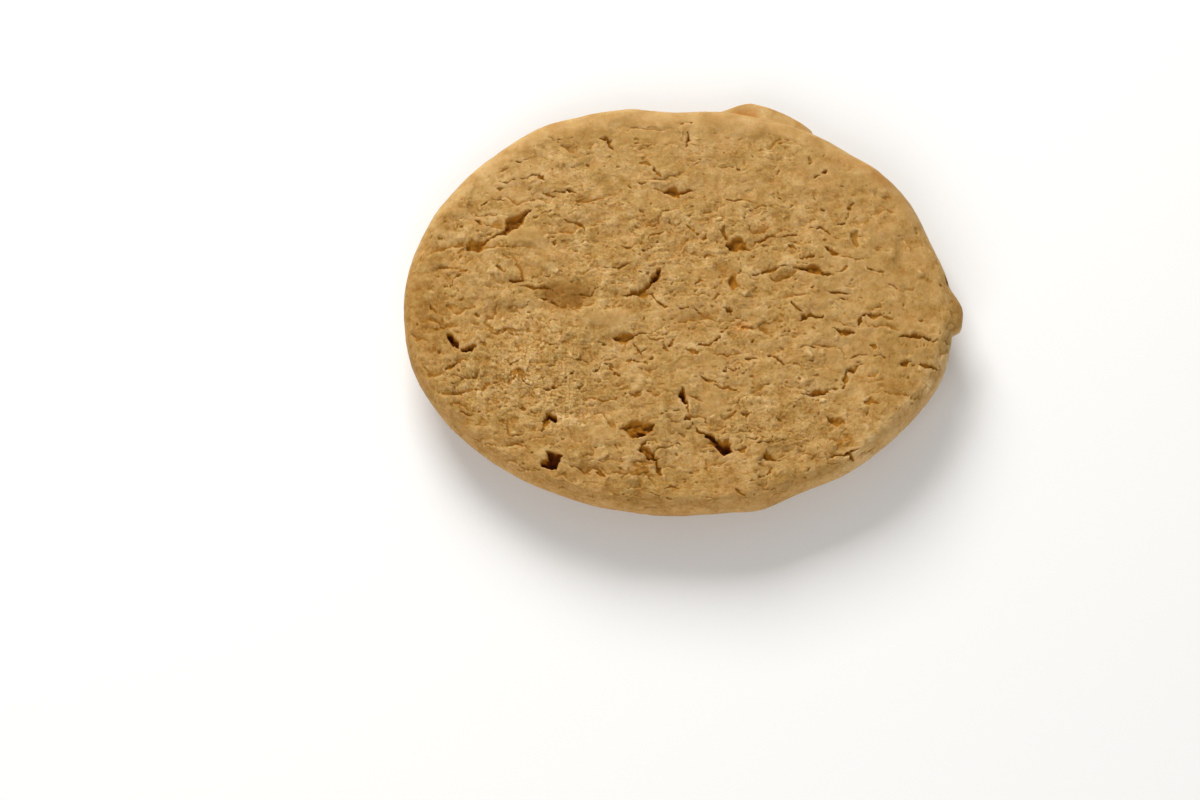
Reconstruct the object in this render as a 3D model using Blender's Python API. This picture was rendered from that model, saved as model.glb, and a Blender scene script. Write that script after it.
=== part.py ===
"""Besan cookie: one baked piece of gram flour dough.

It lies with its flat, pitted face up and its smooth domed side down.
Metres, +Z up, origin under the middle of the cookie.
"""

import math
from collections import namedtuple

import bmesh
import bpy
import numpy as np

MM = 0.001

# Overall size
LENGTH = 72.0 * MM
WIDTH = 56.6 * MM
THICKNESS = 9.5 * MM

# Rounded edge between the flat face and the widest line of the side
SHOULDER_INSET = 2.5 * MM
INSET_LEAN = 0.8 * MM
SHOULDER_DROP = 3.2 * MM
SHOULDER_FULLNESS = 2.1

# The widest line of the side rises and falls a little on its way round
TIP_WAVE = 0.25 * MM

# Domed side, from the widest line down to the small flat spot it lies on. Dough that
# hangs lower than the pressed height is flat too.
DOME_FULLNESS = 1.8
FOOT_LENGTH = 25.0 * MM
FOOT_WIDTH = 20.0 * MM
FOOT_PRESSED = 0.06 * MM

# Gentle waves left by rolling and baking
SWELL_HEIGHT = 0.12 * MM
SWELL_LENGTH = 13.0 * MM
SWELL_COUNT = 7
SWELL_SEED = 5

# The face is crazed into plates that stand a little higher or lower
PLATE_SIZE = 6.5 * MM
PLATE_STEP = 0.22 * MM
PLATE_EDGE = 0.55 * MM
PLATE_SEED = 11

# Steepness of a pit's walls: 1 is a plain V, more is a flatter floor
PIT_WALL = 1.8

# A pit's widest place against its stated width, and how pointed its ends are
PIT_SPREAD = 1.32
PIT_POINT = 0.75

# Raggedness of the pits' edges
RAGGED_REACH = 0.20 * MM
RAGGED_LENGTH = 2.2 * MM
RAGGED_COUNT = 5
RAGGED_SEED = 3

# Share of the ball's surface that goes to each zone of the cookie
FACE_SHARE = 0.60
SHOULDER_SHARE = 0.18
FOOT_SHARE = 0.04

BALL_SUBDIVISIONS = 8
TRIANGLES = 10000

DOUGH_COLOUR = (0.485, 0.275, 0.090, 1.0)
DOUGH_ROUGHNESS = 0.85

# A bulge (or a flat, when negative) of the outline: where it is in degrees
# round from +X, how far it stands out in millimetres, its spread in degrees.
Bulge = namedtuple("Bulge", "angle height spread")
BULGES = (
    Bulge(14.0, -0.8, 9.0),
    Bulge(28.0, 0.2, 8.0),
    Bulge(52.0, 0.1, 9.0),
    Bulge(90.0, -0.65, 9.0),
    Bulge(105.0, 0.3, 9.0),
    Bulge(125.0, 0.8, 16.0),
    Bulge(165.0, -0.35, 14.0),
    Bulge(183.0, -0.35, 9.0),
    Bulge(291.0, 0.4, 6.0),
    Bulge(303.0, -0.3, 6.0),
    Bulge(344.0, 0.4, 8.0),
)

# Lumps of dough on the side wall only. Each rises softly in the degrees before its
# peak, falls faster and faster over the degrees after it to a share of its height,
# and breaks off there. Before and after are taken clockwise, from +Y towards +X.
# It juts out between two levels of the shoulder: 0 is the face, 1 the widest line.
Lump = namedtuple("Lump", "peak height before after end_share top foot")
LUMPS = (
    Lump(70.0, 1.9, 9.0, 15.5, 0.30, 0.50, 0.72),
    Lump(-1.5, 1.25, 6.0, 3.6, 0.8, 0.05, 0.70),
)
LUMP_BREAK = 1.6

# A pit or crack in the face: middle, turn from +X in degrees, length, width
# at its widest, depth and sideways bow, in millimetres.
Gash = namedtuple("Gash", "x y turn length width depth bow")
GASHES = (
    # far side of the face
    Gash(-0.9, 14.8, -8, 2.9, 1.5, 0.93, 0.0),
    Gash(0.7, 22.3, 78, 2.4, 0.7, 0.94, 0.0),
    Gash(-9.4, 21.8, -49, 1.7, 0.8, 0.94, 0.0),
    Gash(-18.6, 16.8, -58, 1.7, 0.7, 0.56, 0.0),
    Gash(-14.5, 14.9, -25, 1.7, 0.8, 0.62, 0.0),
    Gash(-13.4, 9.9, -50, 2.0, 0.9, 0.56, 0.0),
    Gash(-16.7, 7.5, 75, 1.4, 0.8, 0.50, 0.0),
    # long groove on the left and the pit at its end
    Gash(-22.0, 10.3, 44, 6.2, 1.4, 1.05, 0.2),
    Gash(-27.0, 7.0, 22, 3.0, 1.6, 0.87, 0.0),
    Gash(-26.7, 10.4, -50, 1.6, 0.9, 0.56, 0.0),
    Gash(-21.6, 2.3, -5, 2.4, 0.8, 0.68, 0.0),
    # middle of the face
    Gash(7.0, 7.3, -12, 3.3, 1.9, 0.99, 0.0),
    Gash(11.3, 8.0, 13, 5.0, 0.7, 0.50, 0.1),
    Gash(14.0, 6.9, -41, 1.4, 0.9, 0.50, 0.0),
    Gash(19.3, 6.3, -8, 2.0, 0.8, 0.68, 0.0),
    Gash(16.9, 3.5, -12, 3.8, 1.1, 0.81, 0.0),
    Gash(11.4, 3.7, 14, 4.6, 0.7, 0.50, 0.1),
    Gash(6.5, 1.7, 84, 2.4, 1.1, 0.74, 0.0),
    Gash(-3.7, 2.6, 60, 2.4, 0.9, 1.19, 0.0),
    Gash(-4.8, 1.2, 30, 1.8, 0.7, 0.81, 0.0),
    Gash(-5.6, 0.4, 2, 4.2, 0.7, 0.62, 0.0),
    Gash(5.6, -2.0, -15, 1.5, 0.7, 0.56, 0.0),
    Gash(15.5, -2.9, -51, 1.3, 1.1, 0.81, 0.0),
    Gash(20.5, -4.8, -12, 3.0, 0.9, 0.74, 0.0),
    Gash(22.8, -3.4, 64, 1.6, 0.7, 0.62, 0.0),
    Gash(29.6, -5.6, -3, 4.4, 0.7, 0.74, 0.0),
    Gash(28.3, -9.1, 20, 1.8, 0.8, 0.56, 0.0),
    Gash(31.2, -9.4, -12, 4.1, 0.7, 0.56, -0.1),
    Gash(-7.6, -5.6, 8, 3.5, 1.6, 0.81, 0.0),
    Gash(3.5, -6.2, 24, 4.6, 0.7, 0.50, 0.1),
    # near side of the face
    Gash(-29.5, -6.3, -51, 3.0, 0.8, 1.36, 0.1),
    Gash(-27.6, -7.3, 12, 2.6, 0.9, 1.27, 0.0),
    Gash(-0.2, -13.8, -80, 3.1, 0.9, 1.36, 0.0),
    Gash(0.4, -16.8, 29, 1.4, 0.7, 0.68, 0.0),
    Gash(3.8, -20.0, -38, 3.7, 0.9, 1.27, 0.0),
    Gash(4.9, -20.7, -36, 3.3, 1.7, 1.75, 0.0),
    Gash(-6.1, -18.2, 4, 4.8, 2.0, 0.95, 0.0),
    Gash(-5.8, -18.5, -20, 1.5, 1.2, 1.60, 0.0),
    Gash(-5.1, -20.3, 59, 1.7, 0.7, 0.62, 0.0),
    Gash(-4.6, -21.6, -22, 3.3, 1.1, 0.93, 0.0),
    Gash(-3.4, -23.2, -70, 2.9, 0.7, 0.62, 0.0),
    Gash(-16.9, -22.5, 22, 3.3, 1.5, 2.00, 0.0),
    Gash(-17.0, -22.0, -64, 2.3, 1.2, 1.90, 0.0),
    Gash(-17.1, -16.5, 40, 1.7, 0.9, 1.27, 0.0),
    Gash(-17.8, -17.7, 62, 1.9, 0.9, 0.56, 0.0),
    Gash(10.6, -21.8, -20, 1.7, 1.0, 0.81, 0.0),
    Gash(17.0, -13.2, 8, 2.0, 0.7, 0.68, 0.0),
    Gash(19.2, -17.0, -22, 2.7, 1.0, 0.50, 0.0),
    Gash(23.7, -14.5, -10, 2.2, 0.8, 0.37, 0.0),
    Gash(21.2, -21.5, 15, 1.8, 0.8, 1.27, 0.0),
    Gash(21.6, -22.2, -71, 1.9, 0.7, 1.02, 0.0),
)

# A shallow hollow where a flake of dough has come away, in millimetres
Hollow = namedtuple("Hollow", "x y length width depth")
HOLLOWS = (
    Hollow(-15.0, 0.4, 8.2, 4.6, 0.85),
    Hollow(-21.0, 7.1, 3.4, 1.2, 0.25),
    Hollow(21.7, -9.9, 2.6, 1.4, 0.35),
)

# Share of a hollow's depth in its middle, how much it gains towards its near edge
# and the steepness of its walls
HOLLOW_MIDDLE = 0.55
HOLLOW_TILT = 0.45
HOLLOW_WALL = 3.0

# A low smooth mound on the face, in millimetres
Mound = namedtuple("Mound", "x y length width height")
MOUNDS = (
    Mound(-20.6, 8.4, 5.6, 3.0, 0.40),
    Mound(-9.6, -2.9, 8.5, 2.6, 0.28),
    Mound(3.8, -14.8, 4.0, 4.5, 0.22),
    Mound(-10.5, -18.9, 4.0, 2.6, 0.22),
)

# A mound is level up to the first share of its reach and gone at the second
MOUND_TOP = 0.45
MOUND_FOOT = 1.25


def clear_scene():
    for scene_object in list(bpy.data.objects):
        bpy.data.objects.remove(scene_object, do_unlink=True)


def oval(angle, length, width):
    """Distance from the middle to an ellipse's edge at each angle."""
    a = length / 2
    b = width / 2
    return a * b / np.hypot(b * np.cos(angle), a * np.sin(angle))


def degrees_from(angle, place):
    """Degrees round from a place on the outline, between -180 and 180."""
    return (np.degrees(angle) - place + 180.0) % 360.0 - 180.0


def ease(value, low, high):
    """Smooth step from 0 at low to 1 at high."""
    share = np.clip((value - low) / (high - low), 0.0, 1.0)
    return share * share * (3.0 - 2.0 * share)


def bell(angle, bulge):
    """One bulge round the outline, in metres."""
    away = degrees_from(angle, bulge.angle)
    return bulge.height * MM * np.exp(-(away / bulge.spread) ** 2)


def lump_height(angle, lump):
    """How far one lump stands out from the side wall, in metres."""
    past = -degrees_from(angle, lump.peak)
    rise = 1.0 - ease(-past, 0.0, lump.before)
    fall = 1.0 - (1.0 - lump.end_share) * np.clip(past / lump.after, 0.0, 1.0) ** 2
    broken = 1.0 - ease(past, lump.after, lump.after + LUMP_BREAK)
    return lump.height * MM * rise * fall * broken


def outline(angle):
    """Distance from the middle to the cookie's widest line at each angle."""
    reach = oval(angle, LENGTH, WIDTH)
    for bulge in BULGES:
        reach = reach + bell(angle, bulge)
    return reach


def shoulder_inset(angle):
    """Width of the rounded edge: wider on the far side than on the near side."""
    return SHOULDER_INSET + INSET_LEAN * np.sin(angle)


def tip_level(angle):
    """Height of the widest line above the foot at each angle."""
    wave = 0.6 * np.sin(2.0 * angle + 0.8) + 0.4 * np.sin(3.0 * angle + 2.1)
    return THICKNESS - SHOULDER_DROP + TIP_WAVE * wave


def gash_depth(x, y, gash):
    """Depth of one pit or crack at each point, tapering to both its ends."""
    turn = math.radians(gash.turn)
    from_x = x - gash.x
    from_y = y - gash.y
    along = (from_x * math.cos(turn) + from_y * math.sin(turn)) / (gash.length / 2)
    across = from_y * math.cos(turn) - from_x * math.sin(turn)
    inside = np.clip(1.0 - np.abs(along), 0.0, 1.0)
    across = across - gash.bow * inside
    half_width = PIT_SPREAD * gash.width / 2 * inside ** PIT_POINT + 1e-6
    wall = np.clip(1.0 - np.abs(across) / half_width, 0.0, 1.0)
    return gash.depth * np.clip(PIT_WALL * wall, 0.0, 1.0)


def hollow_depth(x, y, hollow):
    """Depth of one shallow oval hollow: its floor falls towards its near edge."""
    away_x = (x - hollow.x) / (hollow.length / 2)
    away_y = (y - hollow.y) / (hollow.width / 2)
    ramp = HOLLOW_MIDDLE - HOLLOW_TILT * np.clip(away_y, -1.0, 1.0)
    wall = np.clip(HOLLOW_WALL * (1.0 - np.hypot(away_x, away_y)), 0.0, 1.0)
    return hollow.depth * ramp * wall


def mound_height(x, y, mound):
    """Height of one low oval mound with a soft edge."""
    away = np.hypot((x - mound.x) / (mound.length / 2), (y - mound.y) / (mound.width / 2))
    return mound.height * (1.0 - ease(away, MOUND_TOP, MOUND_FOOT))


def waves(x, y, seed, count, wave_length):
    """Sum of plane waves in seeded directions, mostly between -1 and 1."""
    draw = np.random.default_rng(seed)
    total = np.zeros_like(x)
    for _ in range(count):
        heading = draw.uniform(0.0, math.pi)
        phase = draw.uniform(0.0, 2.0 * math.pi)
        stretch = wave_length * draw.uniform(0.6, 1.6)
        path = x * math.cos(heading) + y * math.sin(heading)
        total = total + np.sin(2.0 * math.pi * path / stretch + phase)
    return total / math.sqrt(count)


def face_relief(x, y):
    """Height of the face's mounds less its pits, cracks and hollows, in metres."""
    ragged_x = RAGGED_REACH * waves(x, y, RAGGED_SEED, RAGGED_COUNT, RAGGED_LENGTH)
    ragged_y = RAGGED_REACH * waves(x, y, RAGGED_SEED + 1, RAGGED_COUNT, RAGGED_LENGTH)
    x = (x + ragged_x) / MM
    y = (y + ragged_y) / MM
    gashes = np.zeros_like(x)
    for gash in GASHES:
        gashes = np.maximum(gashes, gash_depth(x, y, gash))
    hollows = np.zeros_like(x)
    for hollow in HOLLOWS:
        hollows = np.maximum(hollows, hollow_depth(x, y, hollow))
    mounds = np.zeros_like(x)
    for mound in MOUNDS:
        mounds = np.maximum(mounds, mound_height(x, y, mound))
    return (mounds - gashes - hollows) * MM


def plates(x, y):
    """Height of the crazed face: each plate has its own level and blends at its edge."""
    draw = np.random.default_rng(PLATE_SEED)
    columns = int(LENGTH / PLATE_SIZE) + 1
    rows = int(WIDTH / PLATE_SIZE) + 1
    total = np.zeros_like(x)
    weights = np.full_like(x, 1e-9)
    nearest = np.full_like(x, np.inf)
    centres = []
    for column in range(columns):
        for row in range(rows):
            across = (column + draw.uniform(0.0, 1.0)) * PLATE_SIZE - LENGTH / 2
            along = (row + draw.uniform(0.0, 1.0)) * PLATE_SIZE - WIDTH / 2
            centres.append((across, along, draw.uniform(-1.0, 1.0)))
            nearest = np.minimum(nearest, np.hypot(x - across, y - along))
    for across, along, level in centres:
        weight = np.exp(-(np.hypot(x - across, y - along) - nearest) / (PLATE_EDGE / 2))
        total = total + weight * level
        weights = weights + weight
    return total / weights * PLATE_STEP


def cookie_points(ball):
    """Carry each point of a unit ball to the cookie's surface."""
    share = (1.0 - ball[:, 2]) / 2.0
    angle = np.arctan2(ball[:, 1], ball[:, 0])
    rim = outline(angle)
    foot = oval(angle, FOOT_LENGTH, FOOT_WIDTH)
    tip = tip_level(angle)
    inset = shoulder_inset(angle)

    # flat face
    out = np.sqrt(np.clip(share / FACE_SHARE, 0.0, 1.0))
    reach = out * (rim - inset)
    height = np.full_like(reach, THICKNESS)

    # rounded shoulder, down to the widest line
    turn = np.clip((share - FACE_SHARE) / SHOULDER_SHARE, 0.0, 1.0) * math.pi / 2
    power = 2.0 / SHOULDER_FULLNESS
    on_shoulder = share > FACE_SHARE
    shoulder_reach = rim - inset * (1.0 - np.sin(turn) ** power)
    shoulder_height = THICKNESS - (THICKNESS - tip) * (1.0 - np.cos(turn) ** power)
    reach = np.where(on_shoulder, shoulder_reach, reach)
    height = np.where(on_shoulder, shoulder_height, height)

    # domed side, from the widest line in to the foot
    dome_start = FACE_SHARE + SHOULDER_SHARE
    dome_share = 1.0 - dome_start - FOOT_SHARE
    turn = np.clip((share - dome_start) / dome_share, 0.0, 1.0) * math.pi / 2
    power = 2.0 / DOME_FULLNESS
    on_dome = share > dome_start
    reach = np.where(on_dome, foot + (rim - foot) * np.cos(turn) ** power, reach)
    height = np.where(on_dome, tip * (1.0 - np.sin(turn) ** power), height)

    # flat foot
    on_foot = share > 1.0 - FOOT_SHARE
    foot_out = np.sqrt(np.clip((1.0 - share) / FOOT_SHARE, 0.0, 1.0))
    reach = np.where(on_foot, foot_out * foot, reach)
    height = np.where(on_foot, 0.0, height)

    # lumps on the side wall, fading out towards the face and the foot
    level = (THICKNESS - height) / (THICKNESS - tip)
    above_foot = np.clip(height / tip, 0.0, 1.0)
    for lump in LUMPS:
        reach = reach + lump_height(angle, lump) * ease(level, lump.top, lump.foot) * above_foot

    x = reach * np.cos(angle)
    y = reach * np.sin(angle)
    x = x - (x.max() + x.min()) / 2
    y = y - (y.max() + y.min()) / 2
    face_part = np.clip((height - tip) / (THICKNESS - tip), 0.0, 1.0)
    relief = plates(x, y) + face_relief(x, y)
    swell = SWELL_HEIGHT * waves(x, y, SWELL_SEED, SWELL_COUNT, SWELL_LENGTH)
    height = height + relief * face_part + swell * above_foot
    return np.stack((x, y, height), axis=1)


def dough_material():
    material = bpy.data.materials.new("baked_dough")
    material.use_nodes = True
    shader = material.node_tree.nodes["Principled BSDF"]
    shader.inputs["Base Color"].default_value = DOUGH_COLOUR
    shader.inputs["Roughness"].default_value = DOUGH_ROUGHNESS
    shader.inputs["Metallic"].default_value = 0.0
    material.diffuse_color = DOUGH_COLOUR
    return material


def read_points(mesh):
    points = np.empty(len(mesh.vertices) * 3)
    mesh.vertices.foreach_get("co", points)
    return points.reshape(-1, 3)


def write_points(mesh, points):
    mesh.vertices.foreach_set("co", points.ravel())
    mesh.update()


def thin_mesh(cookie):
    """Thin the cookie's mesh where it is smooth."""
    fine = cookie.data
    thin = cookie.modifiers.new("thin", "DECIMATE")
    thin.decimate_type = "COLLAPSE"
    thin.ratio = TRIANGLES / len(fine.polygons)
    graph = bpy.context.evaluated_depsgraph_get()
    cookie.data = bpy.data.meshes.new_from_object(cookie.evaluated_get(graph))
    cookie.modifiers.clear()
    bpy.data.meshes.remove(fine)


def press_foot(mesh):
    """Make the spot that the cookie lies on exactly flat."""
    points = read_points(mesh)
    points[:, 2] = np.where(points[:, 2] < FOOT_PRESSED, 0.0, points[:, 2])
    write_points(mesh, points)


def make_cookie(collection):
    """Shape a fine ball into the cookie, then thin its mesh and flatten its foot."""
    mesh = bpy.data.meshes.new("ball")
    ball = bmesh.new()
    bmesh.ops.create_icosphere(ball, subdivisions=BALL_SUBDIVISIONS, radius=1.0)
    ball.to_mesh(mesh)
    ball.free()
    write_points(mesh, cookie_points(read_points(mesh)))
    mesh.shade_smooth()
    mesh.materials.append(dough_material())

    cookie = bpy.data.objects.new("cookie", mesh)
    collection.objects.link(cookie)
    thin_mesh(cookie)
    press_foot(cookie.data)
    cookie.data.name = "cookie"
    return cookie


def main():
    clear_scene()
    collection = bpy.data.collections.new("besan_cookie")
    bpy.context.scene.collection.children.link(collection)
    make_cookie(collection)


main()
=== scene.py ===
"""Besan cookie: the baked look of one gram flour cookie.

The cookie lies with its flat, crazed and pitted face up and its smooth domed side down.
Sizes in the mesh code are millimetres; they become metres when the mesh is made.
"""

import math
from collections import namedtuple

import bmesh
import bpy
import numpy as np
from bpy.props import FloatProperty, FloatVectorProperty, IntProperty, PointerProperty
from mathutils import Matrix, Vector


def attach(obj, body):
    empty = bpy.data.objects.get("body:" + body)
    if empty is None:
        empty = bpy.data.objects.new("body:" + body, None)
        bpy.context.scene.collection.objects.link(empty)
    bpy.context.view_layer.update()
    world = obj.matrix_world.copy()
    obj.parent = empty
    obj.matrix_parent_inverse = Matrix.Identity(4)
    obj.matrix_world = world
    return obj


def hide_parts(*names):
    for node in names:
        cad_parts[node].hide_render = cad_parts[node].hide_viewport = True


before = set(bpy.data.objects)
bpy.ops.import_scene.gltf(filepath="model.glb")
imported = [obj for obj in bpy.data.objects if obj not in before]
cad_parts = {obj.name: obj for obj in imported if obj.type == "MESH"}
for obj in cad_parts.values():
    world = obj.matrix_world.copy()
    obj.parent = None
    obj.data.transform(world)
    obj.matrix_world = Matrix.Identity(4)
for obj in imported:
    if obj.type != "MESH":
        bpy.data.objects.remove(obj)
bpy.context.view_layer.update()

bl_info = {
    "name": "Besan cookie",
    "version": (1, 0, 0),
    "blender": (4, 5, 0),
    "location": "View3D > Sidebar > Besan cookie",
    "description": "Makes a baked gram flour cookie with a crazed, pitted face",
    "category": "Object",
}

MM = 0.001

# Rounded edge between the flat face and the widest line of the side
SHOULDER_INSET = 2.5
INSET_LEAN = 0.8
SHOULDER_DROP = 3.2
SHOULDER_FULLNESS = 2.1
TIP_WAVE = 0.25

# Domed side, down to the small flat spot that it lies on; points of the smooth form that
# are lower than the foot's level stay flat
DOME_FULLNESS = 1.8
FOOT_LENGTH = 25.0
FOOT_WIDTH = 20.0
FOOT_LEVEL = 0.02

# Gentle waves left by rolling and baking
SWELL_HEIGHT = 0.12
SWELL_LENGTH = 13.0
SWELL_COUNT = 7
SWELL_SEED = 5

# The face is crazed into plates that stand a little higher or lower
PLATE_SIZE = 6.5
PLATE_STEP = 0.22
PLATE_EDGE = 0.55
PLATE_SEED = 11

# Raggedness of the pits' edges
RAGGED_REACH = 0.20
RAGGED_LENGTH = 2.2
RAGGED_COUNT = 5
RAGGED_SEED = 3

# Share of the ball's surface that goes to each zone of the cookie
FACE_SHARE = 0.66
SHOULDER_SHARE = 0.14
FOOT_SHARE = 0.03
BALL_SUBDIVISIONS = 9

# Rounds of evening out that tell how deep a spot lies among its neighbours
CAVITY_ROUNDS = 14

# Half the width of the square that the grain and scales cover, and how many finer and
# finer layers the rough grain has
PATTERN_REACH = 90.0
GRAIN_LAYERS = 3

# Cross section of a pit or crack: its widest place against its stated width, how pointed
# its ends are, how steep its walls, how round its floor and how uneven its depth is
PIT_SPREAD = 1.32
PIT_POINT = 0.75
PIT_WALL = 1.9
PIT_FLOOR = 0.8
PIT_UNEVEN = 0.25

# Share of a hollow's depth in its middle, how much it gains towards its near edge
# and the steepness of its walls
HOLLOW_MIDDLE = 0.55
HOLLOW_TILT = 0.45
HOLLOW_WALL = 3.0

# A patch counts in full up to the first share of its reach and not at all at the second
PATCH_TOP = 0.45
PATCH_FOOT = 1.25

# Crumbs and clumps of crumbs, large and small scales of crust: size in millimetres
CRUMB_SIZE = 0.42
CLUMP_SIZE = 0.95
LARGE_SCALE_SIZE = 3.0
SMALL_SCALE_SIZE = 1.4

# Heights and depths of the face's relief in millimetres
ROLLING_HEIGHT = 0.22
PILLOW_HEIGHT = 0.25
SMALL_PILLOW_HEIGHT = 0.13
TROUGH_DEPTH = 0.29
SMALL_TROUGH_DEPTH = 0.15
FINE_STEP_DEPTH = 0.055
NICK_DEPTH = 0.18

# Seeds of the marks that are scattered over the face
SMALL_CRACK_SEED = 21
PINHOLE_SEED = 31
RAISED_CRUMB_SEED = 41

# Spots of the finish to a metre: the larger the number, the finer the spots
CLOUDS = 210.0
MOTTLING = 420.0
HAIR_CRACKS = 560.0
COARSE_GRIT = 1100.0
FLECKS = 2100.0
GRIT = 2600.0

# Hair cracks run along X: how much they are drawn out, and how wide each one is
HAIR_CRACK_STRETCH = (0.62, 1.0, 1.0)
HAIR_CRACK_WIDTH = 0.085

# Light that goes into the dough: its share, how far it goes, and red, green and blue
# against that; then the dough's faint shine and the roughness of its grain to the touch
GLOW_SHARE = 0.55
GLOW_DEPTH = 0.0006
GLOW_COLOURS = (1.0, 0.45, 0.15)
SHINE = 0.09
TOOTH_STRENGTH = 0.5
TOOTH_HEIGHT = 0.00012

# Powers by which red, green and blue follow the dough's tone: what is darker is warmer
WARMTH = (1.0, 1.50, 2.65)

# Camera: distance in metres, height angle in degrees, the point in the picture's middle in
# metres, and the lens and the picture's width in millimetres
CAMERA_DISTANCE = 0.40
CAMERA_ELEVATION = 70.0
CAMERA_AIM = (-0.01083, -0.01425, 0.0095)
CAMERA_LENS = 93.84
PICTURE_WIDTH = 36.0

# Lights, in metres: where each stands, how wide it is and its colour, then the point that
# both face and the colour of the even light from all round
KEY_PLACE = (-0.14, 0.40, 0.36)
KEY_SIZE = 0.30
KEY_COLOUR = (1.0, 0.985, 0.96)
FRONT_PLACE = (-0.12, -0.50, 0.45)
FRONT_SIZE = 0.50
FRONT_COLOUR = (1.0, 0.99, 0.98)
LIT_POINT = (0.0, 0.0, 0.005)
ROOM_COLOUR = (1.0, 0.995, 0.985, 1.0)

# Floor: half its side in metres, how matte it is and its faint shine
FLOOR_REACH = 3.0
FLOOR_ROUGHNESS = 0.9
FLOOR_SHINE = 0.2

# A bulge (or a flat, when negative) of the outline: degrees round from +X,
# height in millimetres, spread in degrees.
Bulge = namedtuple("Bulge", "angle height spread")
BULGES = (
    Bulge(14.0, -0.8, 9.0),
    Bulge(28.0, 0.2, 8.0),
    Bulge(52.0, 0.1, 9.0),
    Bulge(90.0, -0.65, 9.0),
    Bulge(105.0, 0.3, 9.0),
    Bulge(125.0, 0.8, 16.0),
    Bulge(165.0, -0.35, 14.0),
    Bulge(183.0, -0.35, 9.0),
    Bulge(291.0, 0.4, 6.0),
    Bulge(303.0, -0.3, 6.0),
    Bulge(344.0, 0.4, 8.0),
)

# Lumps of dough on the side wall only. Each rises softly in the degrees before its
# peak, falls faster and faster over the degrees after it to a share of its height,
# and breaks off there. Before and after are taken clockwise, from +Y towards +X.
# It juts out between two levels of the shoulder: 0 is the face, 1 the widest line.
Lump = namedtuple("Lump", "peak height before after end_share top foot")
LUMPS = (
    Lump(70.0, 1.9, 9.0, 15.5, 0.30, 0.50, 0.72),
    Lump(-1.5, 1.25, 6.0, 3.6, 0.8, 0.05, 0.70),
)
LUMP_BREAK = 1.6

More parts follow.
